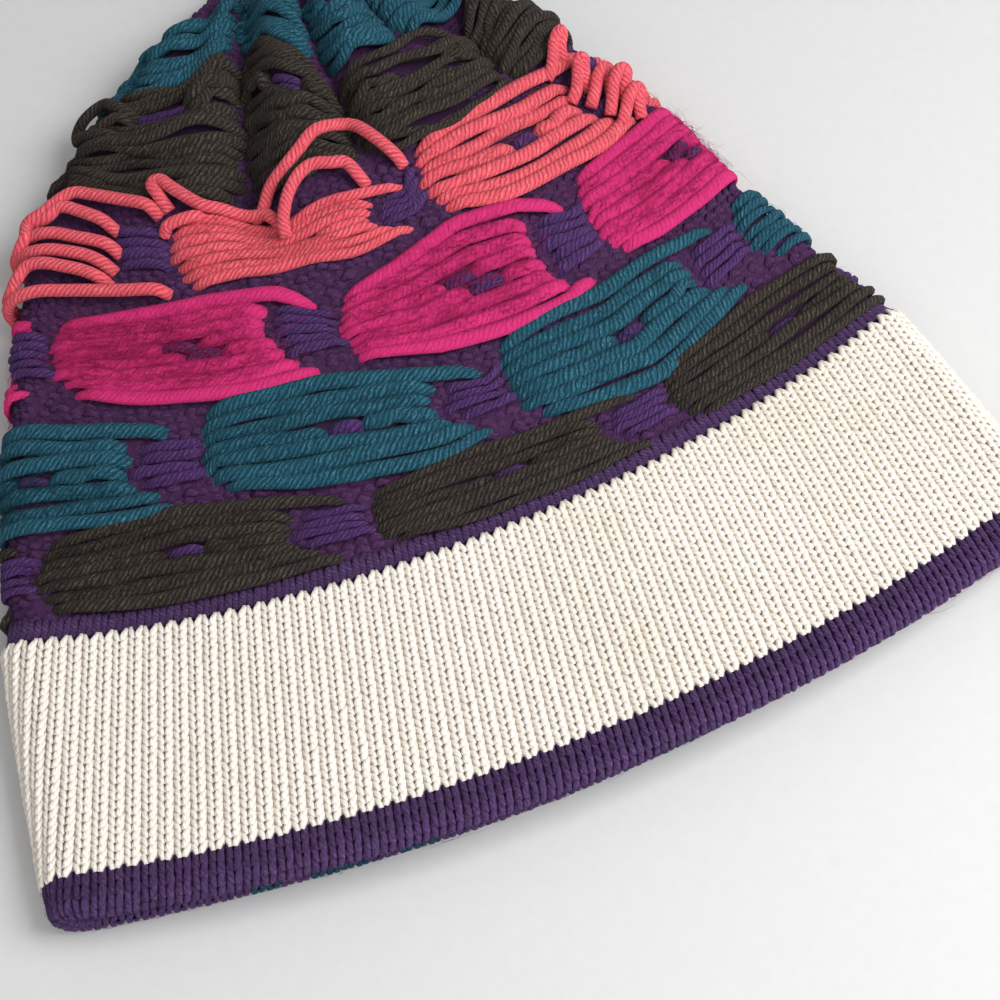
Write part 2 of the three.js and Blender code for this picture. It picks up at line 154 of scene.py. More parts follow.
@dataclass(frozen=True)
class HatForm:
    """Outer surface of the lying hat, with the sizes that the solid model has.

    A section across the hat is a flat run with a half ellipse at each side fold. The upper run
    rises in a dome, and gathers press the crown in along the surface's own normal.
    """

    hem_width: float = 251.0
    length: float = 279.5
    hem_height: float = 9.5
    band_height: float = 55.0
    hem_bow: float = 19.0
    side_room: float = 3.0
    dome_rise: float = 10.0
    under_hem_inset: float = 6.0
    under_hem_power: float = 4.0
    under_hem_tilt: float = 0.25
    dome_power: float = 1.5
    crown_drift: float = 15.0
    wall: float = 3.0
    layer: float = 2.6
    side_fold_run: float = 4.4
    gather_depth: float = 9.0
    under_gather: float = 0.4
    gather_run: float = 0.16
    closing_start: float = 0.9
    closing_gather: float = 0.35
    origin_shift: float = -139.11
    floor_clearance: float = 0.05
    slope_columns: float = 0.08
    slope_run: float = 0.6
    facing_slant: tuple[float, float, float] = (-0.864, -0.585, -0.186)

    @property
    def stack(self) -> float:
        """Thickness of the layers of one sheet."""
        return self.layer + self.wall

    @property
    def fold_run(self) -> float:
        """Reach of a side fold past the flat run."""
        return self.stack + self.side_fold_run

    @property
    def band_top(self) -> float:
        """Distance of the facing's upper edge from the mouth."""
        return self.hem_height + self.band_height

    def column(self, name: str, share: Array) -> Array:
        """Value of a table column at a share of the length.

        A cubic runs through the rows, with slopes taken from each row's neighbours.

        Args:
            name: Column of SECTIONS.
            share: Shares of the hat's length.

        Returns:
            The column's value at each share.
        """
        along = SECTIONS[:, 0]
        value = SECTIONS[:, SECTION_NAMES.index(name)]
        i = np.clip(np.searchsorted(along, share, side="left") - 1, 0, len(along) - 2)
        before = np.maximum(i - 1, 0)
        after = np.minimum(i + 2, len(along) - 1)
        width = along[i + 1] - along[i]
        t = np.clip((share - along[i]) / width, 0.0, 1.0)
        low_slope = (value[i + 1] - value[before]) / (along[i + 1] - along[before]) * width
        high_slope = (value[after] - value[i]) / (along[after] - along[i]) * width
        ends = (2 * t**3 - 3 * t**2 + 1) * value[i] + (3 * t**2 - 2 * t**3) * value[i + 1]
        return ends + (t**3 - 2 * t**2 + t) * low_slope + (t**3 - t**2) * high_slope

    def turn(self, u: Array, distance: Array) -> Array:
        """Share of the way round, which leans and spreads along the hat.

        Args:
            u: Lattice columns.
            distance: Distance from the mouth.

        Returns:
            Shares from 0 to 1.
        """
        share = distance / self.length
        front = (u + self.column("lean", share)) / COLUMNS - 0.25
        wider = self.column("spread", share) * np.sin(2 * np.pi * front) / (2 * np.pi)
        return np.mod(front + wider + 0.25, 1.0)

    def gather(self, turn: Array, share: Array) -> Array:
        """Depth of the gathers: a bell across each, growing along the hat.

        Args:
            turn: Share of the way round.
            share: Share of the length.

        Returns:
            How far the cloth is pressed in, in millimetres.
        """
        reach = (turn[..., None] - GATHERS[:, 0]) / GATHERS[:, 1]
        growth = smoothstep(GATHERS[:, 3], GATHERS[:, 3] + self.gather_run, share[..., None])
        depth = (GATHERS[:, 2] * growth * np.exp(-reach * reach)).sum(-1)
        closing = smoothstep(self.closing_start, 1.0, share)
        return self.gather_depth * depth * (1 - (1 - self.closing_gather) * closing)

    def flat_point(self, u: Array, distance: Array, lift: Array) -> Array:
        """Point of the cloth at a height over its outer surface.

        Args:
            u: Lattice column, 0 to 60 round the hat from the left side fold over the top.
            distance: Distance from the mouth along the hat, in millimetres.
            lift: Height over the outer surface, negative inside the cloth.

        Returns:
            Points in metres, in the frame of the solid model.
        """
        u, distance, lift = np.broadcast_arrays(u, distance, lift)
        share = distance / self.length
        depth = -lift
        flat = self.column("flat", share) * (self.hem_width / 2 - self.fold_run)
        half = self.stack + self.column("room", share) * self.side_room / 2
        dome = self.column("dome", share) * self.dome_rise
        turn = self.turn(u, distance)
        quarter = (np.pi / 2) * np.sqrt((self.fold_run**2 + half**2) / 2)
        half_way = 2 * flat + 2 * quarter
        side = np.where(turn < 0.5, 1.0, -1.0)
        from_left = np.clip(np.where(side > 0, turn, 1 - turn) * 2 * half_way, 0, half_way)
        left = from_left < quarter
        edge = left | (from_left > half_way - quarter)
        angle = np.clip(np.where(left, from_left, half_way - from_left) / quarter, 0, 1) * np.pi / 2
        sign = np.where(left, -1.0, 1.0)
        normal_x = np.where(edge, sign * np.cos(angle), 0.0)
        normal_z = np.where(edge, side * np.sin(angle), side)
        across = np.where(edge, sign * flat + normal_x * self.fold_run, from_left - quarter - flat)
        inner = np.clip(1 - (across / flat) ** 2, 0.0, 1.0)
        rise = np.where(edge | (side < 0), 0.0, dome * inner**self.dome_power)
        reach = across / (flat + self.fold_run)
        inward = self.gather(turn, share)
        x = across - normal_x * (depth + inward) + self.column("drift", share) * self.crown_drift
        z = half + normal_z * (half - depth) + rise
        z = z - normal_z * inward * np.where(side > 0, 1.0, self.under_gather)
        under = np.maximum(-normal_z, 0.0) ** 2
        tilted = 1 - self.under_hem_tilt + self.under_hem_tilt * reach
        inset = self.under_hem_inset * under * (1 - np.abs(reach) ** self.under_hem_power) * tilted
        bow = self.column("bow", share) * self.hem_bow
        y = distance + bow * reach**2 + inset * (1 - share) + self.origin_shift
        z = np.maximum(z, self.floor_clearance)
        return np.stack([x, y, z], -1) * MM

    def point(self, u: Array, distance: Array, lift: Array) -> Array:
        """Point of the cloth, where distances under the hem's radius run round its nose.

        The nose is a half circle as thick as the two layers. Past it the cloth runs back inside.

        Args:
            u: Lattice column.
            distance: Distance along the outside, and negative past the nose.
            lift: Height over the cloth.

        Returns:
            Points in metres.
        """
        u, distance, lift = np.broadcast_arrays(u, distance, lift)
        radius = self.stack / 2
        arc = radius - distance
        angle = np.clip(arc / radius, 0.0, np.pi)
        beyond = np.maximum(arc - np.pi * radius, 0.0)
        outside = distance >= radius
        along = np.where(outside, distance, radius - (radius + lift) * np.sin(angle) + beyond)
        height = np.where(outside, lift, (radius + lift) * np.cos(angle) - radius)
        return self.flat_point(u, along, height)

    def normal(self, u: Array, distance: Array, lift: Array) -> Array:
        """Unit normal of the cloth, from the cross product of its two slopes.

        Args:
            u: Lattice column.
            distance: Distance along the cloth.
            lift: Height over the cloth.

        Returns:
            Unit vectors that point away from the cloth.
        """
        du, dd = self.slope_columns, self.slope_run
        across = self.point(u + du, distance, lift) - self.point(u - du, distance, lift)
        along = self.point(u, distance + dd, lift) - self.point(u, distance - dd, lift)
        return unit(np.cross(across, along))

    def band_skew(self, u: Array, distance: Array) -> Array:
        """Column of a facing wale, which slants from the band's top down to the hem.

        The slant is a mean and one harmonic of the way round, strongest at the left side fold.

        Args:
            u: Column of the wale at the band's top.
            distance: Distance along the cloth.

        Returns:
            The slanted column.
        """
        mean, cosine, sine = self.facing_slant
        angle = 2 * np.pi * u / COLUMNS
        shift = mean + cosine * np.cos(angle) + sine * np.sin(angle)
        return u + shift * (self.band_top - distance) / self.band_height


@dataclass
class Geometry:
    """Vertices, faces and loop coordinates that make one mesh."""

    points: list[Array] = field(default_factory=list)
    quads: list[Array] = field(default_factory=list)
    triangles: list[Array] = field(default_factory=list)
    quad_uv: list[Array] = field(default_factory=list)
    triangle_uv: list[Array] = field(default_factory=list)
    count: int = 0

    def add(
        self, points: Array, quads: Array, quad_uv: Array, triangles: Array, triangle_uv: Array
    ) -> None:
        """Adds one array of faces over its own points.

        Args:
            points: Points in metres.
            quads: Corners of the four-sided faces.
            quad_uv: Loop coordinates of those corners.
            triangles: Corners of the triangles.
            triangle_uv: Loop coordinates of those corners.
        """
        self.points.append(points.reshape(-1, 3))
        self.quads.append(quads.reshape(-1, 4) + self.count)
        self.quad_uv.append(quad_uv.reshape(-1, 2))
        self.triangles.append(triangles.reshape(-1, 3) + self.count)
        self.triangle_uv.append(triangle_uv.reshape(-1, 2))
        self.count += points.reshape(-1, 3).shape[0]

    @property
    def triangle_count(self) -> int:
        """Number of triangles once every quad is split."""
        quads = sum(q.shape[0] for q in self.quads)
        return 2 * quads + sum(t.shape[0] for t in self.triangles)

    def mesh(self, name: str) -> bpy.types.Mesh:
        """Writes the arrays into a Blender mesh.

        Args:
            name: Name of the mesh.

        Returns:
            The new mesh, shaded smooth, with one UV map.
        """
        points = np.concatenate(self.points)
        quads = np.concatenate(self.quads)
        triangles = np.concatenate(self.triangles)
        uv = np.concatenate([np.concatenate(self.quad_uv), np.concatenate(self.triangle_uv)])
        corners = np.concatenate([quads.ravel(), triangles.ravel()])
        sizes = np.concatenate([np.full(len(quads), 4), np.full(len(triangles), 3)])
        mesh = bpy.data.meshes.new(name)
        mesh.vertices.add(len(points))
        mesh.vertices.foreach_set("co", points.astype(np.float32).ravel())
        mesh.loops.add(len(corners))
        mesh.loops.foreach_set("vertex_index", corners.astype(np.int32))
        mesh.polygons.add(len(sizes))
        starts = np.concatenate([[0], np.cumsum(sizes)[:-1]])
        mesh.polygons.foreach_set("loop_start", starts.astype(np.int32))
        mesh.polygons.foreach_set("use_smooth", np.ones(len(sizes), bool))
        mesh.update(calc_edges=True)
        layer = mesh.uv_layers.new(name="yarn")
        layer.data.foreach_set("uv", uv.astype(np.float32).ravel())
        mesh.validate()
        return mesh


@dataclass(frozen=True)
class YarnSection:
    """Cross-section of a yarn, as unit points across and outward."""

    across: Array
    outward: Array

    @classmethod
    def round(cls, sides: int) -> "YarnSection":
        """Closed round section with a number of sides."""
        angle = 2 * np.pi * np.arange(sides) / sides
        return cls(np.cos(angle), np.sin(angle))

    @classmethod
    def half_round(cls) -> "YarnSection":
        """Low section of four points, round above and closed by one flat face below."""
        return cls(np.array([1.0, 0.55, -0.55, -1.0]), np.array([-0.3, 0.85, 0.85, -0.3]))


def add_tubes(
    geometry: Geometry,
    paths: Array,
    width: Array,
    height: Array,
    normals: Array,
    section: YarnSection,
) -> None:
    """Adds closed tubes that follow many paths at once.

    Each ring is the section, scaled by width across the yarn and by height along the surface's
    normal, in the plane square to the path. Both ends are closed by fans to their middle.

    Args:
        geometry: Where the tubes go.
        paths: Points of the paths in metres, by path, station and axis.
        width: Half widths in metres at each station.
        height: Half heights in metres at each station.
        normals: Surface normals at the stations.
        section: Cross-section.
    """
    count, stations = paths.shape[:2]
    sides = len(section.across)
    tangent = unit(np.gradient(paths, axis=1))
    across = unit(np.cross(tangent, normals))
    outward = np.cross(across, tangent)
    width = np.broadcast_to(width, (count, stations))[..., None, None]
    height = np.broadcast_to(height, (count, stations))[..., None, None]
    ring = (
        paths[:, :, None, :]
        + width * section.across[:, None] * across[:, :, None, :]
        + height * section.outward[:, None] * outward[:, :, None, :]
    )
    tips = np.stack([ring[:, 0].mean(1), ring[:, -1].mean(1)], 1)
    points = np.concatenate([ring.reshape(count, -1, 3), tips], 1)
    points[..., 2] = np.maximum(points[..., 2], LOWEST_YARN)
    base = (np.arange(count) * (stations * sides + 2))[:, None, None]
    s = np.arange(stations - 1)[:, None]
    k = np.arange(sides)[None, :]
    n = (k + 1) % sides
    here, there = s * sides, (s + 1) * sides
    corners = np.stack([here + k, there + k, there + n, here + n], -1)
    quads = base[..., None] + corners[None]
    step = np.linalg.norm(np.diff(paths, axis=1), axis=-1) / MM
    length = np.concatenate([np.zeros((count, 1)), np.cumsum(step, 1)], 1)
    low = np.broadcast_to(length[:, :-1, None], quads.shape[:3])
    high = np.broadcast_to(length[:, 1:, None], quads.shape[:3])
    v0 = np.broadcast_to(k / sides, quads.shape[1:3])[None] + np.zeros_like(low)
    quad_uv = quad_corners(low, v0, high, v0 + 1.0 / sides)
    side = np.arange(sides)
    after = (side + 1) % sides
    first = np.stack([np.full(sides, stations * sides), side, after], -1)
    last_ring = (stations - 1) * sides
    far_tip = np.full(sides, stations * sides + 1)
    last = np.stack([far_tip, last_ring + after, last_ring + side], -1)
    triangles = base + np.concatenate([first, last])[None]
    start_uv = np.stack([side + 0.5, side, side + 1.0], -1) / sides
    end_uv = np.stack([side + 0.5, side + 1.0, side], -1) / sides
    around = np.broadcast_to(np.concatenate([start_uv, end_uv])[None], triangles.shape)
    far = np.broadcast_to(length[:, -1, None, None], (count, sides, 3))
    along = np.concatenate([np.zeros_like(far), far], 1)
    geometry.add(points, quads, quad_uv, triangles, np.stack([along, around], -1))


def add_sheet(geometry: Geometry, grid: Array, along: Array, flip: bool = False) -> None:
    """Adds a sheet that closes on itself round the hat.

    Args:
        geometry: Where the sheet goes.
        grid: Points in metres, by row along the hat and step round it.
        along: Distance of each row, for the loop coordinates.
        flip: True where the sheet faces the other way.
    """
    rows, steps = grid.shape[:2]
    r = np.arange(rows - 1)[:, None]
    k = np.arange(steps)[None, :]
    n = (k + 1) % steps
    here, there = r * steps, (r + 1) * steps
    quads = np.stack([here + k, here + n, there + n, there + k], -1)
    u0 = np.broadcast_to(k / steps, quads.shape[:2]) * COLUMNS
    v0 = np.broadcast_to(along[:-1, None], quads.shape[:2])
    v1 = np.broadcast_to(along[1:, None], quads.shape[:2])
    uv = quad_corners(u0, v0, u0 + COLUMNS / steps, v1)
    if flip:
        quads = quads[..., ::-1]
        uv = uv[..., ::-1, :]
    geometry.add(grid, quads, uv, np.zeros((0, 3), int), np.zeros((0, 2)))


def add_fan(geometry: Geometry, ring: Array, flip: bool = False) -> None:
    """Closes a ring of points with a fan to its middle.

    Args:
        geometry: Where the fan goes.
        ring: Points of the ring in metres.
        flip: True where the fan faces the other way.
    """
    count = len(ring)
    k = np.arange(count)
    triangles = np.stack([np.full(count, count), k, (k + 1) % count], -1)
    if flip:
        triangles = triangles[:, ::-1]
    points = np.concatenate([ring, ring.mean(0)[None]])
    uv = np.zeros((3 * count, 2))
    geometry.add(points, np.zeros((0, 4), int), np.zeros((0, 2)), triangles, uv)


class Nodes:
    """Short hand for making and linking shader nodes."""

    def __init__(self, tree: bpy.types.NodeTree) -> None:
        """Keeps the node tree that is being filled."""
        self.tree = tree

    def add(
        self, kind: str, settings: dict[str, object] | None = None, **inputs: object
    ) -> bpy.types.Node:
        """Adds a node, sets its properties and fills or links its inputs.

        Args:
            kind: Blender's type name of the node.
            settings: Properties of the node itself.
            inputs: Input sockets by name, with _ for a space, as values or as sockets to link.

        Returns:
            The new node.
        """
        node = self.tree.nodes.new(kind)
        for name, value in (settings or {}).items():
            setattr(node, name, value)
        for name, value in inputs.items():
            place = int(name[1:]) if name[1:].isdigit() else name.replace("_", " ")
            self.feed(node.inputs[place], value)
        return node

    def feed(self, socket: bpy.types.NodeSocket, value: object) -> None:
        """Links an input to a socket, or gives it a plain value.

        Args:
            socket: The input.
            value: An output socket, or a number, colour or vector.
        """
        if isinstance(value, bpy.types.NodeSocket):
            self.tree.links.new(value, socket)
        else:
            socket.default_value = value

    def math(self, operation: str, first: object, second: object = 0.0) -> bpy.types.NodeSocket:
        """Output of a math node with one or two inputs."""
        return self.add("ShaderNodeMath", {"operation": operation}, i0=first, i1=second).outputs[0]

    def scaled(self, value: object, middle: float, gain: object) -> bpy.types.NodeSocket:
        """Output of (value less middle) times gain."""
        return self.math("MULTIPLY", self.math("SUBTRACT", value, middle), gain)

    def noise(
        self, place: object, scale: float, detail: float, roughness: float = 0.5
    ) -> bpy.types.NodeSocket:
        """Value of a noise texture read at a place."""
        sizes = {"Scale": scale, "Detail": detail, "Roughness": roughness}
        return self.add("ShaderNodeTexNoise", Vector=place, **sizes).outputs[0]

    def object_place(self) -> bpy.types.NodeSocket:
        """Object coordinates of the surface."""
        return self.add("ShaderNodeTexCoord").outputs["Object"]

    def mix(self, factor: object, first: object, second: object) -> bpy.types.NodeSocket:
        """Colour between the first and the second one, by a share of the second."""
        settings = {"data_type": "RGBA", "blend_type": "MIX", "clamp_factor": True}
        return self.add("ShaderNodeMix", settings, i0=factor, i6=first, i7=second).outputs[2]


def new_group(
    name: str, inputs: list[tuple[str, str, object]], outputs: list[tuple[str, str]]
) -> tuple[bpy.types.NodeTree, Nodes, bpy.types.Node, bpy.types.Node]:
    """Starts a shader node group with named sockets.

    Args:
        name: Name of the group.
        inputs: Socket name, type and value of each input.
        outputs: Socket name and type of each output.

    Returns:
        The group, its node maker, and its input and output nodes.
    """
    group = bpy.data.node_groups.new(name, "ShaderNodeTree")
    for label, kind, value in inputs:
        socket = group.interface.new_socket(name=label, in_out="INPUT", socket_type=kind)
        if value is not None:
            socket.default_value = value
    for label, kind in outputs:
        group.interface.new_socket(name=label, in_out="OUTPUT", socket_type=kind)
    nodes = Nodes(group)
    return group, nodes, nodes.add("NodeGroupInput"), nodes.add("NodeGroupOutput")


@dataclass
class WoolEffects:
    """Node groups that every yarn shares."""

    twist: bpy.types.NodeTree
    wool: bpy.types.NodeTree

    @classmethod
    def build(cls) -> "WoolEffects":
        """Makes the groups once."""
        return cls(cls._twist_group(), cls._wool_group())

    @staticmethod
    def _twist_group() -> bpy.types.NodeTree:
        """Plied twist: ridges where the way round times the plies less the way along is whole."""
        group, nodes, source, target = new_group(
            "plied_twist",
            [
                ("Vector", "NodeSocketVector", None),
                ("Plies", "NodeSocketFloat", 4.0),
                ("Pitch", "NodeSocketFloat", 1.5),
                ("Waver", "NodeSocketFloat", 1.1),
            ],
            [(name, "NodeSocketFloat") for name in ("Height", "Groove", "Streak")],
        )
        ridge_power, groove_power = 0.8, 1.8
        fibres_across, fibres_along, fibres_apart = 3.2, 0.4, 9.0
        crest_from, crest_gain = 0.62, 0.2
        split = nodes.add("ShaderNodeSeparateXYZ", Vector=source.outputs["Vector"])
        noise = nodes.noise(nodes.object_place(), 420.0, 2.0)
        waver = nodes.scaled(noise, 0.5, source.outputs["Waver"])
        around = nodes.math("MULTIPLY", split.outputs[1], source.outputs["Plies"])
        along = nodes.math("DIVIDE", split.outputs[0], source.outputs["Pitch"])
        phase = nodes.math("ADD", nodes.math("SUBTRACT", around, along), waver)
        wave = nodes.math("SINE", nodes.math("MULTIPLY", phase, float(np.pi)))
        ridge = nodes.math("ABSOLUTE", wave)
        lines = nodes.add(
            "ShaderNodeCombineXYZ",
            X=nodes.math("MULTIPLY", phase, fibres_across),
            Y=nodes.math("MULTIPLY", split.outputs[0], fibres_along),
            Z=nodes.math("MULTIPLY", noise, fibres_apart),
        )
        streak = nodes.noise(lines.outputs[0], 1.0, 3.0, 0.7)
        # The term below lifts Streak on the ridge tops of the plies: a painted highlight.
        crest = nodes.scaled(ridge, crest_from, crest_gain)
        valley = nodes.math("SUBTRACT", 1.0, ridge)
        nodes.feed(target.inputs["Height"], nodes.math("POWER", ridge, ridge_power))
        # This output is painted shade: it darkens the colour in the valleys between the plies.
        nodes.feed(target.inputs["Groove"], nodes.math("POWER", valley, groove_power))
        nodes.feed(target.inputs["Streak"], nodes.math("ADD", streak, crest))
        return group

    @staticmethod
    def _wool_group() -> bpy.types.NodeTree:
        """Wool: a broad noise darkens it at random; pale streaks run along the plies, partly fibre
        tone and partly painted highlight; painted shade darkens the grooves; and fine fuzz.
        """
        group, nodes, source, target = new_group(
            "wool_fibres",
            [
                ("Colour", "NodeSocketColor", (0.5, 0.5, 0.5, 1.0)),
                ("Shade", "NodeSocketColor", (0.2, 0.2, 0.2, 1.0)),
                ("Highlight", "NodeSocketColor", (0.8, 0.8, 0.8, 1.0)),
                ("Groove", "NodeSocketFloat", 0.0),
                ("Streak", "NodeSocketFloat", 0.5),
                ("Mottle", "NodeSocketFloat", 0.5),
            ],
            [("Color", "NodeSocketColor"), ("Fibres", "NodeSocketFloat")],
        )
        mottle_from, pale_from, pale_gain = 0.35, 0.53, 3.4
        speck_gain, sunk_gain, streak_relief = 0.9, 2.4, 1.5
        place, streak = nodes.object_place(), source.outputs["Streak"]
        broad = nodes.noise(place, 150.0, 3.0, 0.6)
        fine = nodes.noise(place, 1900.0, 4.0, 0.75)
        # A broad noise darkens the yarn at random: its own mottled tone.
        darker = nodes.scaled(broad, mottle_from, source.outputs["Mottle"])
        first = nodes.mix(darker, source.outputs["Colour"], source.outputs["Shade"])
        # Pale streaks along the plies, mixed towards the highlight colour: partly fibre tone,
        # partly painted highlight, strongest on the ply crests.
        pale = nodes.scaled(streak, pale_from, pale_gain)
        speck = nodes.scaled(fine, 0.5, speck_gain)
        second = nodes.mix(nodes.math("ADD", pale, speck), first, source.outputs["Highlight"])
        # Where the streak value is low, in the ply valleys and along darker fibre lines, painted
        # shade darkens the colour.
        streak_shade = nodes.scaled(streak, 0.5, -sunk_gain)
        grooves = nodes.math("ADD", source.outputs["Groove"], nodes.math("MAXIMUM", streak_shade, 0.0))
        relief = nodes.math("MULTIPLY", streak, streak_relief)
        # The last mix paints the shade of the grooves and streak valleys in the shade colour.
        nodes.feed(target.inputs["Color"], nodes.mix(grooves, second, source.outputs["Shade"]))
        nodes.feed(target.inputs["Fibres"], nodes.math("ADD", fine, relief))
        return group


@dataclass(frozen=True)
class YarnFinish:
    """Colours and surface of one yarn, in linear light."""

    name: str
    colour: Colour
    # Dark colour: the yarn's own random mottle, and painted shade in the grooves and streak
    # valleys.
    shade: Colour
    # Highlight colour: painted highlight on the ply crests and pale streaks; it also tints the
    # sheen.
    highlight: Colour
    plies: float = 5.0
    pitch: float = 1.45
    ridge: float = 0.3
    # Strength of the painted shade in the grooves between the plies.
    groove: float = 0.45
    mottle: float = 0.8
    fibre: float = 0.3
    roughness: float = 0.95
    gloss: float = 0.15
    sheen: float = 0.3
    sheen_roughness: float = 0.5
    stain: Colour | None = None

    def material(self, effects: WoolEffects) -> bpy.types.Material:
        """Builds the yarn's material.

        Args:
            effects: The shared node groups.

        Returns:
            A material whose ridges follow the yarn's own UV map.
        """
        material = bpy.data.materials.new(self.name)
        material.use_nodes = True
        nodes = Nodes(material.node_tree)
        shader = material.node_tree.nodes["Principled BSDF"]
        uv = nodes.add("ShaderNodeUVMap", {"uv_map": "yarn"}).outputs[0]
        twist = nodes.add(
            "ShaderNodeGroup",
            {"node_tree": effects.twist},
            Vector=uv,
            Plies=self.plies,
            Pitch=self.pitch,
        )
        groove = nodes.math("MULTIPLY", twist.outputs["Groove"], self.groove)
        colour: object = (*self.colour, 1.0)
        if self.stain:
            colour = self._stains(nodes, (*self.stain, 1.0))
        wool = nodes.add(
            "ShaderNodeGroup",
            {"node_tree": effects.wool},
            Colour=colour,
            Shade=(*self.shade, 1.0),
            Highlight=(*self.highlight, 1.0),
            Groove=groove,
            Streak=twist.outputs["Streak"],
            Mottle=self.mottle,
        )
        fibres = nodes.math("MULTIPLY", wool.outputs["Fibres"], self.fibre)
        ridges = nodes.math("MULTIPLY", twist.outputs["Height"], self.ridge)
        relief = nodes.math("ADD", fibres, ridges)
        bump = nodes.add("ShaderNodeBump", Strength=1.0, Distance=MM, Height=relief)
        for name, value in (
            ("Base Color", wool.outputs["Color"]),
            ("Normal", bump.outputs[0]),
            ("Roughness", self.roughness),
            ("Specular IOR Level", self.gloss),
            ("Sheen Weight", self.sheen),
            ("Sheen Roughness", self.sheen_roughness),
            ("Sheen Tint", (*self.highlight, 1.0)),
        ):
            nodes.feed(shader.inputs[name], value)
        return material

    def _stains(self, nodes: Nodes, stain: tuple[float, ...]) -> bpy.types.NodeSocket:
        """Faint stains: a broad noise that tints a few patches of the yarn."""
        share = nodes.scaled(nodes.noise(nodes.object_place(), 17.0, 3.0, 0.55), 0.5, 3.2)
        return nodes.mix(share, (*self.colour, 1.0), stain)


class Finishes:
    """Every finish of the hat, built once."""

    def __init__(self) -> None:
        """Builds the shared groups and the materials."""
        effects = WoolEffects.build()
        # Each finish gives its own colour, a dark colour for mottle and painted shade, and a
        # painted highlight colour.
        cream = YarnFinish(
            "cream_yarn", (0.88, 0.82, 0.74), (0.60, 0.52, 0.43), (0.97, 0.93, 0.87),
            plies=3.0, pitch=1.3, ridge=0.06, groove=0.12, mottle=0.3, fibre=0.16,
            stain=(0.74, 0.66, 0.54),
        )  # fmt: skip
        self.cream = cream.material(effects)
        # The cloth behind the stitches is a darker cream copy: painted shade in the gaps between
        # the stitches.
        self.cream_shadow = replace(
            cream, name="cream_cloth_painted_shade", colour=(0.66, 0.58, 0.48), highlight=(0.78, 0.70, 0.60),
            stain=None,
        ).material(effects)  # fmt: skip
        hem = YarnFinish(
            "hem_yarn", (0.070, 0.032, 0.105), (0.022, 0.012, 0.036), (0.19, 0.10, 0.26),
            plies=3.0, pitch=1.3, ridge=0.1, groove=0.25, fibre=0.5, sheen=0.6,
        )  # fmt: skip
        self.hem = hem.material(effects)
        # A lighter copy of the hem yarn for the nose of the turned edge: painted light, with the
        # plain hem yarn as the shaded upper face.
        self.hem_lit = replace(
            hem, name="hem_nose_painted_light_yarn", colour=(0.088, 0.042, 0.140), shade=(0.035, 0.018, 0.058),
            highlight=(0.23, 0.13, 0.32),
        ).material(effects)  # fmt: skip
        ground = YarnFinish(
            "ground_yarn", (0.068, 0.023, 0.086), (0.024, 0.009, 0.032), (0.21, 0.08, 0.24),
            ridge=0.08, groove=0.15, fibre=0.7, sheen=0.6,
        )  # fmt: skip
        self.ground = ground.material(effects)
        self.violet = replace(
            ground, name="violet_yarn", colour=(0.058, 0.022, 0.102), shade=(0.016, 0.007, 0.030),
            highlight=(0.20, 0.09, 0.31), ridge=0.26, groove=0.42, fibre=0.45,
        ).material(effects)  # fmt: skip
        self.brown = YarnFinish(
            "brown_wool", (0.030, 0.0235, 0.0205), (0.006, 0.005, 0.0055), (0.155, 0.126, 0.096),
            ridge=0.27, groove=0.48, fibre=0.42,
        ).material(effects)  # fmt: skip
        self.teal = YarnFinish(
            "teal_wool", (0.012, 0.078, 0.118), (0.004, 0.020, 0.036), (0.085, 0.28, 0.38),
            ridge=0.27, groove=0.42, fibre=0.42,
        ).material(effects)  # fmt: skip
        self.magenta = YarnFinish(
            "magenta_wool", (0.78, 0.032, 0.20), (0.60, 0.020, 0.15), (0.84, 0.07, 0.27),
            ridge=0.06, groove=0.12, mottle=0.35, fibre=0.6, sheen=0.6,
        ).material(effects)  # fmt: skip
        self.coral = YarnFinish(
            "coral_wool", (0.88, 0.108, 0.150), (0.48, 0.034, 0.058), (1.0, 0.30, 0.31),
            ridge=0.27, groove=0.36, fibre=0.38,
        ).material(effects)  # fmt: skip


def place_piece(
    geometry: Geometry, name: str, material: bpy.types.Material, slot: Slot, *replaced: str
) -> None:
    """Makes an object of a geometry, dresses it and seats it on the frame.

    Args:
        geometry: Its arrays.
        name: Name of the piece.
        material: Its finish.
        slot: Material slot of the record; not used.
        replaced: Solid nodes that the piece stands for.
    """
    mesh = geometry.mesh(name)
    mesh.materials.append(material)
    piece = bpy.data.objects.new(name, mesh)
    bpy.context.scene.collection.objects.link(piece)
    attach(piece, "root")
    if replaced:
        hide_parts(*replaced)
    LOG.info("%s: %d triangles", name, geometry.triangle_count)


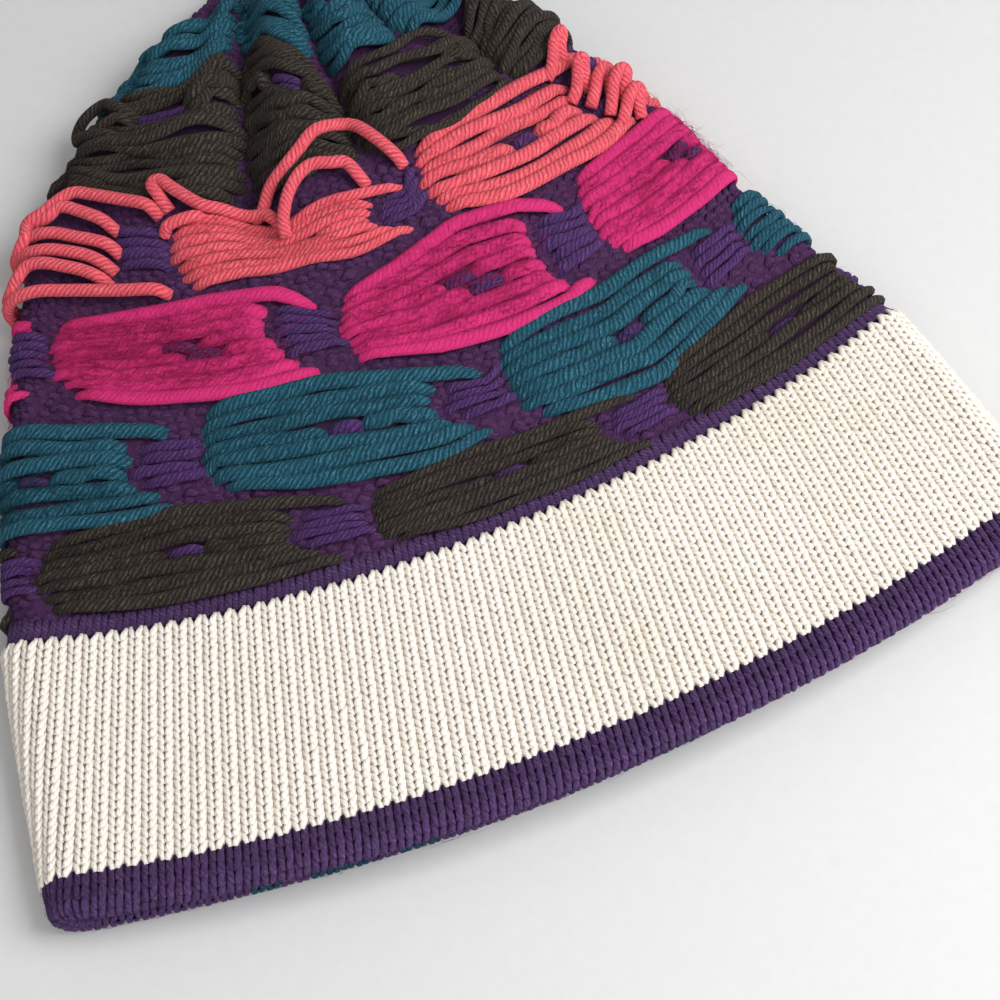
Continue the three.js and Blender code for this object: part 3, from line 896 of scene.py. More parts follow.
@dataclass(frozen=True)
class KnitStitches:
    """V stitches of stockinette, each of two slanted legs.

    A leg starts at the stitch's middle, in front of the stitch below. It swells halfway, slants to
    the stitch's side, and sinks at its head, where the next stitch covers it. The right legs stand
    out more than the left ones, as the yarn's twist makes them do.
    """

    form: HatForm
    row_height: float
    foot: float = 0.12
    head: float = 0.38
    overlap: float = 1.78
    width: float = 0.84
    height: float = 0.68
    sink: float = 0.75
    rise: float = 0.2
    favour: float = 0.08
    start_back: float = 0.3
    crest_at: float = 0.3
    slim: float = 0.62
    uneven: float = 0.05
    stations: int = 5

    def add(self, geometry: Geometry, wale: Array, start: Array) -> None:
        """Adds the two legs of each stitch, on wales that slant as the facing's do.

        Args:
            geometry: Where they go.
            wale: Number of the wale of each stitch.
            start: Distance of the foot of each stitch.
        """
        t = np.linspace(0.0, 1.0, self.stations)
        across = self.foot + (self.head - self.foot) * smoothstep(0.0, 0.85, t)
        along = self.overlap * t - self.start_back
        rising = t < self.crest_at
        climb = self.rise * (1 - ((t - self.crest_at) / self.crest_at) ** 2 * 0.5)
        fall = self.rise - (self.rise + self.sink) * smoothstep(self.crest_at, 1.0, t)
        lift = np.where(rising, climb, fall)
        swell = self.slim + (1 - self.slim) * np.sin(np.pi * np.clip(t * 0.9 + 0.12, 0, 1))
        section = YarnSection.half_round()
        noise = np.random.default_rng(len(wale)).normal(0, 1, (3, 2 * len(wale)))
        for leg, side in enumerate((-1.0, 1.0)):
            jitter = self.uneven * noise[:, leg * len(wale) : (leg + 1) * len(wale), None]
            distance = start[:, None] + (along + jitter[0]) * self.row_height
            u = (wale[:, None] + side * across * (1 + jitter[1])) * COLUMNS_PER_WALE
            u = self.form.band_skew(u, distance)
            raised = lift + jitter[2] + side * self.favour
            paths = self.form.point(u, distance, raised)
            normals = self.form.normal(u, distance, raised)
            size = swell * MM * (1 + side * self.favour)
            add_tubes(geometry, paths, size * self.width, size * self.height, normals, section)


@dataclass(frozen=True)
class CreamFacing:
    """The cream stockinette band round the brow."""

    form: HatForm
    rows: int = 29
    backing: float = 0.3
    backing_foot: float = 2.3
    backing_inset: float = 0.6
    backing_steps: int = 8
    seam_wales: int = 2
    under_stations: int = 3

    def build(self, finishes: Finishes) -> None:
        """Makes the stitches of the upper and the lower sheet, and the cloth behind them.

        Args:
            finishes: Materials of the hat.
        """
        row_height = self.form.band_height / self.rows
        wale, row = np.meshgrid(np.arange(WALES) + 0.5, np.arange(self.rows), indexing="ij")
        start = self.form.hem_height + row * row_height
        upper = wale < WALES / 2 + self.seam_wales
        stitches = KnitStitches(self.form, row_height)
        sparse = replace(stitches, stations=self.under_stations)
        for name, chosen, stitch in (
            ("cream_stitches_upper", upper, stitches),
            ("cream_stitches_under", ~upper, sparse),
        ):
            geometry = Geometry()
            stitch.add(geometry, wale[chosen], start[chosen])
            place_piece(geometry, name, finishes.cream, Slot.CREAM)
        cloth = Geometry()
        u = np.arange(WALES)[None, :] * COLUMNS_PER_WALE
        low = self.form.hem_height + self.backing_inset
        high = self.form.band_top - self.backing_inset
        foot, top = -self.backing_foot, -self.backing
        profile = np.array([(low, foot), (high, foot), (high, top), (low, top), (low, foot)])
        rows = [self._run(profile[i], profile[i + 1]) for i in range(len(profile) - 1)]
        ring = np.concatenate(rows + [profile[-1:]])
        grid = self.form.point(u, ring[:, :1], ring[:, 1:])
        add_sheet(cloth, grid, ring[:, 0], flip=True)
        # The backing takes the darker cream, painted shade between the stitches.
        place_piece(cloth, "cream_backing", finishes.cream_shadow, Slot.CREAM, "cream_band")

    def _run(self, first: Array, second: Array) -> Array:
        """Points from first towards second, several where they lie far apart and else one."""
        steps = self.backing_steps if abs(second[0] - first[0]) > 1 else 1
        return first + (second - first) * (np.arange(steps) / steps)[:, None]


# Turned stitches of the hem, with longer and more upright legs than the facing's
RIB_STITCH = {
    "stations": 4, "rise": -0.4, "sink": 0.95, "foot": 0.15, "head": 0.34, "overlap": 1.9,
    "favour": 0.03,
}  # fmt: skip


@dataclass(frozen=True)
class TurnedHem:
    """The purple turned edge at the mouth, and the first patterned rows inside it."""

    form: HatForm
    row_height: float = 2.9
    # Rows below this distance, round the nose, take the lighter hem copy: painted light.
    lit_below: float = 2.4
    inside_end: float = -15.0
    teal_runs: tuple[tuple[float, float], ...] = (
        (132.4, 134.2), (126.2, 130.0), (120.9, 124.0), (102.4, 104.9), (97.8, 99.2),
    )  # fmt: skip
    teal_band: tuple[float, float] = (-5.5, -1.0)
    backing_rows: int = 24
    backing_top: float = 1.1
    backing_foot: float = 1.9

    def build(self, finishes: Finishes) -> None:
        """Makes the stitches round the nose, a few teal ones inside, and the cloth behind them.

        Args:
            finishes: Materials of the hat.
        """
        top = self.form.hem_height - 0.75 * self.row_height
        rows = np.arange(top, self.inside_end, -self.row_height)
        wale, start = np.meshgrid(np.arange(WALES) + 0.5, rows, indexing="ij")
        in_band = (start > self.teal_band[0]) & (start < self.teal_band[1])
        teal = np.zeros(wale.shape, bool)
        for low, high in self.teal_runs:
            teal |= (wale > low) & (wale < high) & in_band
        # Stitches round the nose take the lighter hem copy, as painted light.
        lit = (start < self.lit_below) & ~teal
        stitches = KnitStitches(self.form, self.row_height, **RIB_STITCH)
        for name, chosen, material, slot in (
            ("hem_stitches", ~lit & ~teal, finishes.hem, Slot.HEM),
            ("hem_nose_stitches", lit, finishes.hem_lit, Slot.HEM),
            ("hem_teal_stitches", teal, finishes.teal, Slot.TEAL),
        ):
            geometry = Geometry()
            stitches.add(geometry, wale[chosen], start[chosen])
            place_piece(geometry, name, material, slot)
        cloth = Geometry()
        u = np.arange(WALES)[None, :] * COLUMNS_PER_WALE
        outer = np.linspace(self.form.hem_height, self.inside_end, self.backing_rows)
        upper = np.stack([outer, np.full_like(outer, -self.backing_top)], -1)
        lower = np.stack([outer[::-1], np.full_like(outer, -self.backing_foot)], -1)
        profile = np.concatenate([upper, lower, upper[:1]])
        grid = self.form.point(u, profile[:, :1], profile[:, 1:])
        add_sheet(cloth, grid, profile[:, 0], flip=True)
        place_piece(cloth, "hem_backing", finishes.hem, Slot.HEM, "hem_edge")


# One bundle of floats, charted as a line for each row from the lowest up. A strand's start
# and end are tenths of the bundle.
CHART: tuple[tuple[Strand, ...], ...] = (
    ((Yarn.RING, 0.5, 8.9),),
    ((Yarn.RING, 0.2, 8.3),),
    ((Yarn.RING, 0.05, 7.8), (Yarn.VIOLET, 7.9, 10.2)),
    ((Yarn.RING, 0, 4.8), (Yarn.VIOLET, 4.6, 6), (Yarn.RING, 5.8, 7.7), (Yarn.VIOLET, 7.8, 10)),
    ((Yarn.RING, 0, 4.1), (Yarn.VIOLET, 3.9, 5.3), (Yarn.RING, 5.1, 7.6), (Yarn.VIOLET, 7.7, 10)),
    ((Yarn.RING, 0.1, 7.7), (Yarn.VIOLET, 7.8, 10.1)),
    ((Yarn.RING, 0.2, 7.8), (Yarn.VIOLET, 8, 10.2)),
    ((Yarn.RING, 0.45, 9.4),),
)
# In the crown the floats run from one gather to the next, with a few violet stitches between
CROWN_CHART: tuple[tuple[Strand, ...], ...] = (
    ((Yarn.RING, 0.6, 9.5),),
    ((Yarn.RING, 0.1, 10.2),),
    ((Yarn.RING, -0.2, 10),),
    ((Yarn.RING, 0, 10.4),),
    ((Yarn.RING, -0.2, 9.9),),
    ((Yarn.RING, -0.1, 4), (Yarn.VIOLET, 3.6, 7.4), (Yarn.RING, 7, 10.2)),
    ((Yarn.RING, -0.1, 10.3),),
    ((Yarn.RING, 0.5, 9.6),),
)


def spline(points: Array, steps: int) -> Array:
    """Smooth path through points, by a cubic between each two with slopes from their neighbours.

    Args:
        points: Points of the path, one in each row.
        steps: Stations in each stretch.

    Returns:
        The path's stations.
    """
    padded = np.concatenate([2 * points[:1] - points[1:2], points, 2 * points[-1:] - points[-2:-1]])
    p0, p1, p2, p3 = padded[:-3, None], padded[1:-2, None], padded[2:-1, None], padded[3:, None]
    t = (np.arange(steps) / steps)[None, :, None]
    square = 2 * p0 - 5 * p1 + 4 * p2 - p3
    cube = 3 * p1 - p0 - 3 * p2 + p3
    path = 0.5 * (2 * p1 + (p2 - p0) * t + square * t**2 + cube * t**3)
    return np.concatenate([path.reshape(-1, points.shape[1]), points[-1:]])


@dataclass(frozen=True)
class Pinch:
    """A place where a bundle's strands are drawn together and pressed in."""

    column: float
    height: float
    reach: float
    squeeze: float
    depth: float


@dataclass(frozen=True)
class FloatRing:
    """One ring of loose yarn floats: bundles on the charted repeat, and its loose loops.

    A strand runs round the hat between two columns. It dives into the ground at both ends, rises
    between them, and waves by two sines of its own. The ring's lower and upper edge are a short
    table by column, in millimetres over the facing. Loops are drawn through (column, height, lift).
    """

    name: str
    slot: Slot
    seed: int
    rows: int
    edges: tuple[Point, ...]
    chart: tuple[tuple[Strand, ...], ...] = CHART
    first: float = 0.0
    spans: tuple[tuple[float, float], ...] = ()
    half_height: float = 1.1
    fullness: float = 0.56
    puff: float = 1.0
    narrowest: float = 0.9
    widest: float = 2.3
    wave: float = 0.45
    margin: float = 1.07
    loop_radius: float = 1.5
    loops: tuple[tuple[Point, ...], ...] = ()
    skipped: tuple[int, ...] = ()
    pinches: tuple[Pinch, ...] = ()
    stations: int = 22
    violet_stations: int = 12
    sides: int = 7
    loop_sides: int = 9
    loop_steps: int = 6
    hidden_from: float = 0.06
    hidden_to: float = 0.72
    hidden_margin: float = 2.2
    end_scatter: float = 0.08
    row_scatter: float = 0.12
    dive_run: float = 1.8
    dive_depth: float = 2.4

    def bundles(self) -> Array:
        """Start and end column of every bundle round the hat."""
        if self.spans:
            return np.array(self.spans)
        start = self.first + 10.0 * np.arange(6)
        return np.stack([start, start + 10.0], -1)

    def edge(self, u: Array) -> tuple[Array, Array]:
        """Edges of the ring, read off its table by straight lines.

        Args:
            u: Lattice columns.

        Returns:
            Lower and upper edge in millimetres over the facing's top.
        """
        table = np.array(self.edges)
        low = np.interp(u, table[:, 0], table[:, 1], period=COLUMNS)
        high = np.interp(u, table[:, 0], table[:, 2], period=COLUMNS)
        return low, high

    def covers(self, form: HatForm, u: Array, distance: Array) -> Array:
        """True where the ring's own strands hide the ground.

        Args:
            form: The hat's surface.
            u: Lattice columns.
            distance: Distances from the mouth.

        Returns:
            A mask.
        """
        low, high = self.edge(u)
        above = distance - form.band_top
        hidden = np.zeros(np.shape(u), bool)
        for index, (start, end) in enumerate(self.bundles()):
            place = np.mod(u - start, COLUMNS) / (end - start)
            if index not in self.skipped:
                hidden |= (place > self.hidden_from) & (place < self.hidden_to)
        return hidden & (above > low + self.hidden_margin) & (above < high - self.hidden_margin)

    def strands(self, yarn: Yarn) -> Array:
        """Strands of one yarn, with the chart's rows spread over the ring's own.

        Args:
            yarn: Which yarn.

        Returns:
            Three rows: start column, end column and share of the ring's height.
        """
        skipped = self.skipped if yarn == Yarn.RING else ()
        bundles = [ends for index, ends in enumerate(self.bundles()) if index not in skipped]
        found = []
        for row in range(self.rows):
            charted = self.chart[round(row * (len(self.chart) - 1) / (self.rows - 1))]
            for a, b in [(a, b) for kind, a, b in charted if kind == yarn]:
                for start, end in bundles:
                    tenth = (end - start) / 10
                    found.append((start + a * tenth, start + b * tenth, (row + 0.5) / self.rows))
        return np.array(found).T

    def paths(self, form: HatForm, yarn: Yarn) -> tuple[Array, Array, Array, Array]:
        """Centre lines of the strands of one yarn, with normals and half widths.

        A strand's height over the facing is its row's place between the ring's edges, plus a slow
        and a quick sine. Its lift is a puff that grows towards its middle, less a dive at its ends.

        Args:
            form: The hat's surface.
            yarn: Which yarn.

        Returns:
            Points and normals by strand, station and axis, then half widths and half heights.
        """
        rng = np.random.default_rng(self.seed + yarn)
        ring = yarn == Yarn.RING
        start, end, share = self.strands(yarn)
        count = len(start)
        t = np.linspace(0.0, 1.0, self.stations if ring else self.violet_stations)[None, :]
        t = 0.5 - 0.5 * np.cos(np.pi * t) * (0.55 + 0.45 * np.abs(np.cos(np.pi * t)))
        jitter = rng.normal(0, 1, (6, count, 1))
        phase = rng.uniform(0, 1, (3, count, 1))
        begin = start[:, None] + self.end_scatter * jitter[0]
        finish = end[:, None] + self.end_scatter * jitter[1]
        u = begin + (finish - begin) * t
        middle = np.sin(np.pi * t) ** 0.5
        slow = np.sin(2 * np.pi * (phase[0] + t * (0.5 + 0.5 * phase[2])))
        quick = np.sin(2 * np.pi * (phase[1] + t * (1.5 + phase[2])))
        wobble = 0.6 * slow + 0.4 * quick
        low, high = self.edge(u)
        squeeze = self.margin * (1 - 0.12 * (2 * t - 1) ** 4) if ring else 0.96
        above = (low + high) / 2 + (high - low) * (share[:, None] - 0.5) * squeeze
        wave = self.wave if ring else 0.2
        above = above + wave * wobble * middle + self.row_scatter * jitter[2]
        from_end = np.minimum(t, 1 - t) * (np.abs(finish - begin) * COLUMN_RUN)
        dive = self.dive_depth * (1 - smoothstep(0.0, self.dive_run, from_end))
        puff = self.puff * middle * np.clip(0.55 + 0.35 * jitter[3], 0.1, 1.4)
        seat = 0.1 - self.half_height + (puff if ring else -0.25)
        lift = seat + self.row_scatter * jitter[4] - dive
        for pinch in self.pinches:
            bell = np.exp(-(((u - pinch.column) / pinch.reach) ** 2))
            above = above + (pinch.height - above) * pinch.squeeze * bell
            lift = lift - pinch.depth * bell
        d = form.band_top + above
        pitch = (high - low) / self.rows
        fullness = self.fullness if ring else 0.5
        width = fullness * pitch * (0.8 + 0.2 * middle) * (1 + 0.08 * jitter[5])
        width = width * (1 + 0.1 * np.sin(2 * np.pi * (phase[2] + 2.3 * t)))
        width = np.clip(width, self.narrowest, self.widest)
        height = np.minimum(self.half_height, width) if ring else 0.75 * width
        return form.point(u, d, lift), form.normal(u, d, lift), width * MM, height * MM

    def build(self, form: HatForm, material: bpy.types.Material) -> None:
        """Makes the ring's own floats and loops as one piece.

        Args:
            form: The hat's surface.
            material: Finish of the ring's yarn.
        """
        geometry = Geometry()
        paths, normals, width, height = self.paths(form, Yarn.RING)
        add_tubes(geometry, paths, width, height, normals, YarnSection.round(self.sides))
        for loop in self.loops:
            line = spline(np.array(loop), self.loop_steps)
            u, d, lift = line[:, 0], form.band_top + line[:, 1], line[:, 2]
            path = form.point(u, d, lift)[None]
            normal = form.normal(u, d, np.zeros_like(lift))[None]
            size = np.array(self.loop_radius * MM)
            section = YarnSection.round(self.loop_sides)
            add_tubes(geometry, path, size, size * 0.92, normal, section)
        replaced = [f"{self.name}_{k}" for k in range(1, 7)]
        place_piece(geometry, f"{self.name}_strands", material, self.slot, *replaced)


# Edges of each ring: lattice column, lower and upper edge in millimetres over the facing
BROWN_EDGES = (
    (1.5, 8, 25), (6, 7.5, 29), (10, 6.5, 23), (12, 7, 20.7), (15, 6, 21.7), (20, 5, 19.4),
    (25.5, 5.4, 23.5), (29, 5, 21.2), (34, 6, 24), (56, 7, 25),
)  # fmt: skip
TEAL_EDGES = (
    (0, 29, 52), (4, 29, 53.5), (6.8, 30, 51), (7.4, 32, 54), (9, 30, 54.7), (11.5, 26, 53.5),
    (14.5, 24, 47.5), (16.6, 26, 42), (17, 25, 46), (20, 21.5, 47.5), (21.5, 20.8, 46.5),
    (24, 25, 48), (26.7, 29, 47), (29.5, 29.5, 45), (34, 27, 51), (55, 29, 52),
)  # fmt: skip
MAGENTA_EDGES = (
    (0, 63, 85), (3, 64, 84.7), (6, 60.7, 84.5), (8.5, 58, 85.3), (11, 56.3, 83.5),
    (12.4, 58, 76), (13, 57, 76), (15.5, 52.5, 78.5), (18, 50, 84), (20.5, 48.7, 81.5),
    (22.3, 52.5, 75), (23.1, 54, 80), (24.5, 53, 79.5), (28, 53, 79), (34, 56, 81), (55, 60, 84),
)  # fmt: skip
CORAL_EDGES = (
    (0, 92, 118), (4.2, 92.5, 119), (7, 91.5, 116), (7.9, 89.5, 113), (10.5, 91, 113),
    (12.2, 87, 108), (14, 86.5, 106), (17, 88, 103), (17.7, 90, 111), (20, 84.5, 114),
    (22.5, 82.7, 113), (26, 82.5, 110), (29.5, 83, 110), (34, 88, 114), (55, 91, 116),
)  # fmt: skip
CROWN_BROWN_EDGES = (
    (0, 124, 156), (4, 124, 156), (8, 121, 158), (10, 119, 168), (12, 118, 172), (14, 117, 160),
    (16, 115, 148), (18, 113, 143), (21, 112, 143), (23, 113, 142), (26, 116, 150), (34, 117, 156),
    (55, 122, 156),
)  # fmt: skip
CROWN_TEAL_EDGES = (
    (0, 158, 188), (5.5, 157, 186), (8, 161, 190), (11, 174, 199), (13, 170, 197), (15, 158, 190),
    (17, 149, 180), (21, 148, 178), (24, 152, 182), (30, 158, 188), (55, 160, 190),
)  # fmt: skip
# Loose loops, each drawn through (column, height over the facing, lift)
CORAL_LOOPS = (
    ((11.3, 111, -0.6), (11.65, 111.5, 1.2), (12.2, 116.5, 2.2), (12.95, 118.5, 2.6),
     (13.75, 121.5, 2.8),
     (14.55, 125.5, 2.8), (15.7, 127.5, 2.6), (16.3, 125.5, 2.4), (16.9, 117.5, 1.8),
      (17.35, 110.5, 0.4), (17.5, 108, -2)),
    ((12.15, 99, -0.5), (12.25, 103.5, 1.6), (12.7, 109.5, 2.2), (13.3, 113.5, 2.4),
     (14.0, 115.5, 2.4),
     (14.75, 114.5, 2.2), (15.35, 113.5, 1.8), (15.6, 109.5, 0.6), (15.8, 106.5, -2)),
    ((8.1, 115.5, -1.5), (7.75, 119, 1.2), (7.5, 122.3, 2), (7.85, 123.3, 2),
     (8.45, 119.5, 1.8), (9.35, 114.5, 1.6),
     (10.25, 113.5, 1.6), (11.15, 111.5, 1.5), (11.75, 109.5, 1.2), (12.2, 104, -0.6)),
    ((7.7, 108.5, -2), (7.95, 109.8, 0.3), (8.5, 110.6, 0.9), (9.1, 111.6, 0.3), (9.35, 112, -2)),
    ((-2, 108, -2), (0.4, 106, 1.5), (1.7, 105, 2), (2.5, 108, 3), (2.6, 113, 3),
     (3.2, 116, 1.8), (4.1, 121.3, 1.4),
     (4.9, 121.3, 1.4), (6.15, 119.3, 1.4), (7.2, 117, 1), (7.7, 114.3, -2)),
    ((-2.5, 113, -2), (0.5, 113, 1), (3.0, 113.5, 1.4), (3.7, 117, 1.4), (4.4, 116.3, 1.4),
     (5.35, 113.8, 0.8), (5.95, 111, -2)),
    ((-2, 109, -2), (1, 109, 1), (3.0, 109.3, 1.5), (4.1, 108.5, 1.4), (5.35, 106.6, 0.8),
     (5.95, 104, -2)),
    ((-2, 103, -2), (1, 104, 1), (3.15, 104.3, 1.4), (4.4, 103.3, 1.3), (5.1, 101.3, 0.6),
     (5.6, 99, -2)),
    ((-2.5, 93, -2), (0, 93.5, 1), (1.6, 93.5, 2.2), (2.1, 96.5, 2.6), (2.6, 100, 2),
     (3.6, 99.6, 1.5), (4.4, 98.4, 1.2),
     (5.0, 96.4, 0.4), (5.3, 95, -2)),
    ((-2.5, 90, -2), (0, 91, 1.2), (2.0, 91.5, 1.8), (3.0, 92.2, 1.5), (4.2, 92.3, 1.5),
     (5.7, 91.4, 1.4), (6.9, 90.6, 1), (7.4, 90, -2)),
    ((25.0, 109, -1), (25.4, 109.6, 0.8), (25.9, 112, 2.6), (26.35, 114.2, 5.0),
     (26.45, 113.4, 4.6), (26.2, 111, 2), (26.1, 108, -1.5)),
    ((25.1, 99, -1), (25.5, 99.6, 0.8), (25.9, 101.6, 2.2), (26.35, 104, 4.2),
     (26.45, 103, 3.8), (26.2, 100.5, 1.5), (26.1, 98, -1.5)),
    ((25.6, 94, -0.5), (26.2, 96, 1.8), (26.75, 98.2, 3.2), (26.95, 97.2, 2.9),
     (26.8, 94.5, 1), (26.6, 92, -1.5)),
    ((26, 88.5, -0.5), (26.5, 91, 2.6), (26.95, 93.6, 5.6), (27.15, 92.6, 5.2), (27.0, 90, 2),
     (26.8, 87, -1.5)),
    ((26.1, 84, -0.5), (26.6, 85.8, 1.8), (27.1, 87.8, 3.4), (27.3, 86.8, 3), (27.1, 84.5, 1),
     (27.0, 82, -1.5)),
)  # fmt: skip
BROWN_LOOPS = (
    ((5.8, 140, -1.5), (5.1, 141, 1), (3.4, 143.5, 2.4), (2.3, 147, 3.6), (2.3, 150, 5.2),
     (2.9, 153.5, 5), (3.6, 155.5, 3.4),
     (4.6, 152.5, 2.2), (5.5, 149.5, 1), (6.1, 148, -1.5)),
)  # fmt: skip
# First and last column of each bundle between two gathers of the crown
CROWN_BROWN_SPANS = (
    (-5.5, 2.7), (2.9, 11.0), (11.4, 16.0), (16.4, 23.4), (23.8, 30.5), (30.8, 37.6), (38, 46),
    (46.3, 54.2),
)  # fmt: skip
CROWN_TEAL_SPANS = (
    (-3.8, 4.6), (4.8, 10.6), (10.9, 15.6), (16.1, 20.3), (20.6, 27.0), (27.4, 34), (34.4, 41),
    (41.5, 48.6), (49, 55.9),
)  # fmt: skip

RINGS = (
    FloatRing(
        "brown_floats", Slot.BROWN, 11, 7, BROWN_EDGES, first=1.25,
        half_height=1.05, fullness=0.66, puff=0.55, wave=0.65, margin=1.17,
    ),
    FloatRing(
        "teal_floats", Slot.TEAL, 12, 7, TEAL_EDGES, first=7.0,
        half_height=1.1, fullness=0.64, puff=0.85, wave=0.9, margin=1.18,
    ),
    FloatRing(
        "magenta_floats", Slot.MAGENTA, 13, 8, MAGENTA_EDGES, first=2.7,
        half_height=0.85, fullness=0.72, puff=0.25, wave=0.4, margin=1.14,
    ),
    FloatRing(
        "coral_floats", Slot.CORAL, 14, 7, CORAL_EDGES, first=7.75,
        half_height=1.35, fullness=0.58, puff=1.3, wave=0.9, margin=1.1,
        loops=CORAL_LOOPS, loop_radius=1.75, skipped=(5,),
        pinches=(Pinch(column=12.3, height=97.0, reach=1.3, squeeze=0.4, depth=1.6),),
    ),
    FloatRing(
        "crown_brown_floats", Slot.BROWN, 15, 14, CROWN_BROWN_EDGES,
        chart=CROWN_CHART, spans=CROWN_BROWN_SPANS, loops=BROWN_LOOPS, loop_radius=1.7,
        half_height=1.35, fullness=0.68, narrowest=1.2, puff=3.2, wave=2.2,
    ),
    FloatRing(
        "crown_teal_floats", Slot.TEAL, 16, 9, CROWN_TEAL_EDGES,
        chart=CROWN_CHART, spans=CROWN_TEAL_SPANS,
        half_height=1.5, fullness=0.56, narrowest=1.2, puff=3.8, wave=1.7,
    ),
)  # fmt: skip


@dataclass(frozen=True)
class PatternedBag:
    """The purple bag: its closed cloth, its purl bumps, and the violet floats between bundles."""

    form: HatForm
    bump_width: float = 1.35
    bump_height: float = 0.42
    bump_pitch: float = 2.1
    bump_run: float = 1.15
    sparse_run: float = 2.2
    sparse_from: float = 195.0
    cloth_rows: int = 76
    cloth_start: float = 0.3
    closing_gap: float = 0.8
    inner_reach: float = 0.93
    rib_starts: tuple[float, float] = (-1.4, 1.6)
    rib_row: float = 2.9

    def build(self, finishes: Finishes) -> None:
        """Makes the cloth, the bumps, the ribs over the facing and the violet floats.

        Args:
            finishes: Materials of the hat.
        """
        self._cloth(finishes)
        self._bumps(finishes)
        self._ribs(finishes)
        self._violet(finishes)

    def _cloth(self, finishes: Finishes) -> None:
        """A closed wall: the outer sheet, the inner sheet, and the rim at the mouth.

        Args:
            finishes: Materials of the hat.
        """
        form = self.form
        u = np.arange(WALES)[None, :] * COLUMNS_PER_WALE
        shares = np.linspace(0, 1, self.cloth_rows)[:, None] ** 0.95
        low = form.hem_height + self.cloth_start
        outer_run = low + (form.length - self.closing_gap - low) * shares
        inner_run = low + (form.length * self.inner_reach - low) * shares
        geometry = Geometry()
        outer = form.point(u, outer_run, np.full_like(outer_run, -form.layer))
        inner = form.flat_point(u, inner_run, np.full_like(inner_run, -form.stack))
        add_sheet(geometry, outer, outer_run[:, 0])
        add_sheet(geometry, inner, inner_run[:, 0], flip=True)
        add_sheet(geometry, np.stack([inner[0], outer[0]]), np.array([0.0, 1.0]))
        add_fan(geometry, outer[-1])
        add_fan(geometry, inner[-1], flip=True)
        place_piece(geometry, "bag_ground", finishes.ground, Slot.GROUND, "crown_shell")

    def _bumps(self, finishes: Finishes) -> None:
        """Purl bumps where no bundle covers the ground: short arches that interlock sideways.

        Args:
            finishes: Materials of the hat.
        """
        form = self.form
        rows = np.arange(form.band_top + 3.5, form.length - 2.0, self.bump_pitch)
        wale, distance = np.meshgrid(np.arange(WALES, dtype=float), rows, indexing="ij")
        hidden = (distance > self.sparse_from) & (wale % 2 > 0)
        for ring in RINGS:
            hidden |= ring.covers(form, wale * COLUMNS_PER_WALE, distance)
        wale, distance = wale[~hidden], distance[~hidden]
        jitter = np.random.default_rng(5).normal(0, 1, (3, len(wale), 1))
        t = np.linspace(0.0, 1.0, 3)[None, :]
        longer = np.where(distance > self.sparse_from, self.sparse_run, self.bump_run)[:, None]
        u = (wale[:, None] + (t - 0.5) * longer + 0.16 * jitter[0]) * COLUMNS_PER_WALE
        arch = np.sin(np.pi * t)
        d = distance[:, None] + 0.8 * arch + 0.4 * jitter[1]
        lift = -form.layer - 0.4 + 0.55 * arch**0.7 + 0.2 * jitter[2]
        geometry = Geometry()
        swell = (0.6 + 0.4 * arch) * MM
        paths, normals = form.point(u, d, lift), form.normal(u, d, lift)
        width, height = swell * self.bump_width, swell * self.bump_height
        add_tubes(geometry, paths, width, height, normals, YarnSection.half_round())
        place_piece(geometry, "purl_bumps", finishes.ground, Slot.GROUND)

    def _ribs(self, finishes: Finishes) -> None:
        """Short ribs where the facing is knitted on, above its upper edge.

        Args:
            finishes: Materials of the hat.
        """
        starts = self.form.band_top + np.array(self.rib_starts)
        wale, start = np.meshgrid(np.arange(WALES) + 0.5, starts, indexing="ij")
        geometry = Geometry()
        stitches = replace(
            KnitStitches(self.form, self.rib_row, **RIB_STITCH),
            rise=-1.95, sink=2.3, width=1.2, height=0.6, foot=0.2, head=0.3, overlap=2.0,
        )  # fmt: skip
        stitches.add(geometry, wale.ravel(), start.ravel())
        place_piece(geometry, "join_ribs", finishes.hem, Slot.GROUND)

    def _violet(self, finishes: Finishes) -> None:
        """Short violet floats between the bundles of every ring.

        Args:
            finishes: Materials of the hat.
        """
        geometry = Geometry()
        for ring in RINGS:
            paths, normals, width, height = ring.paths(self.form, Yarn.VIOLET)
            add_tubes(geometry, paths, width, height, normals, YarnSection.round(6))
        place_piece(geometry, "violet_floats", finishes.violet, Slot.GROUND)


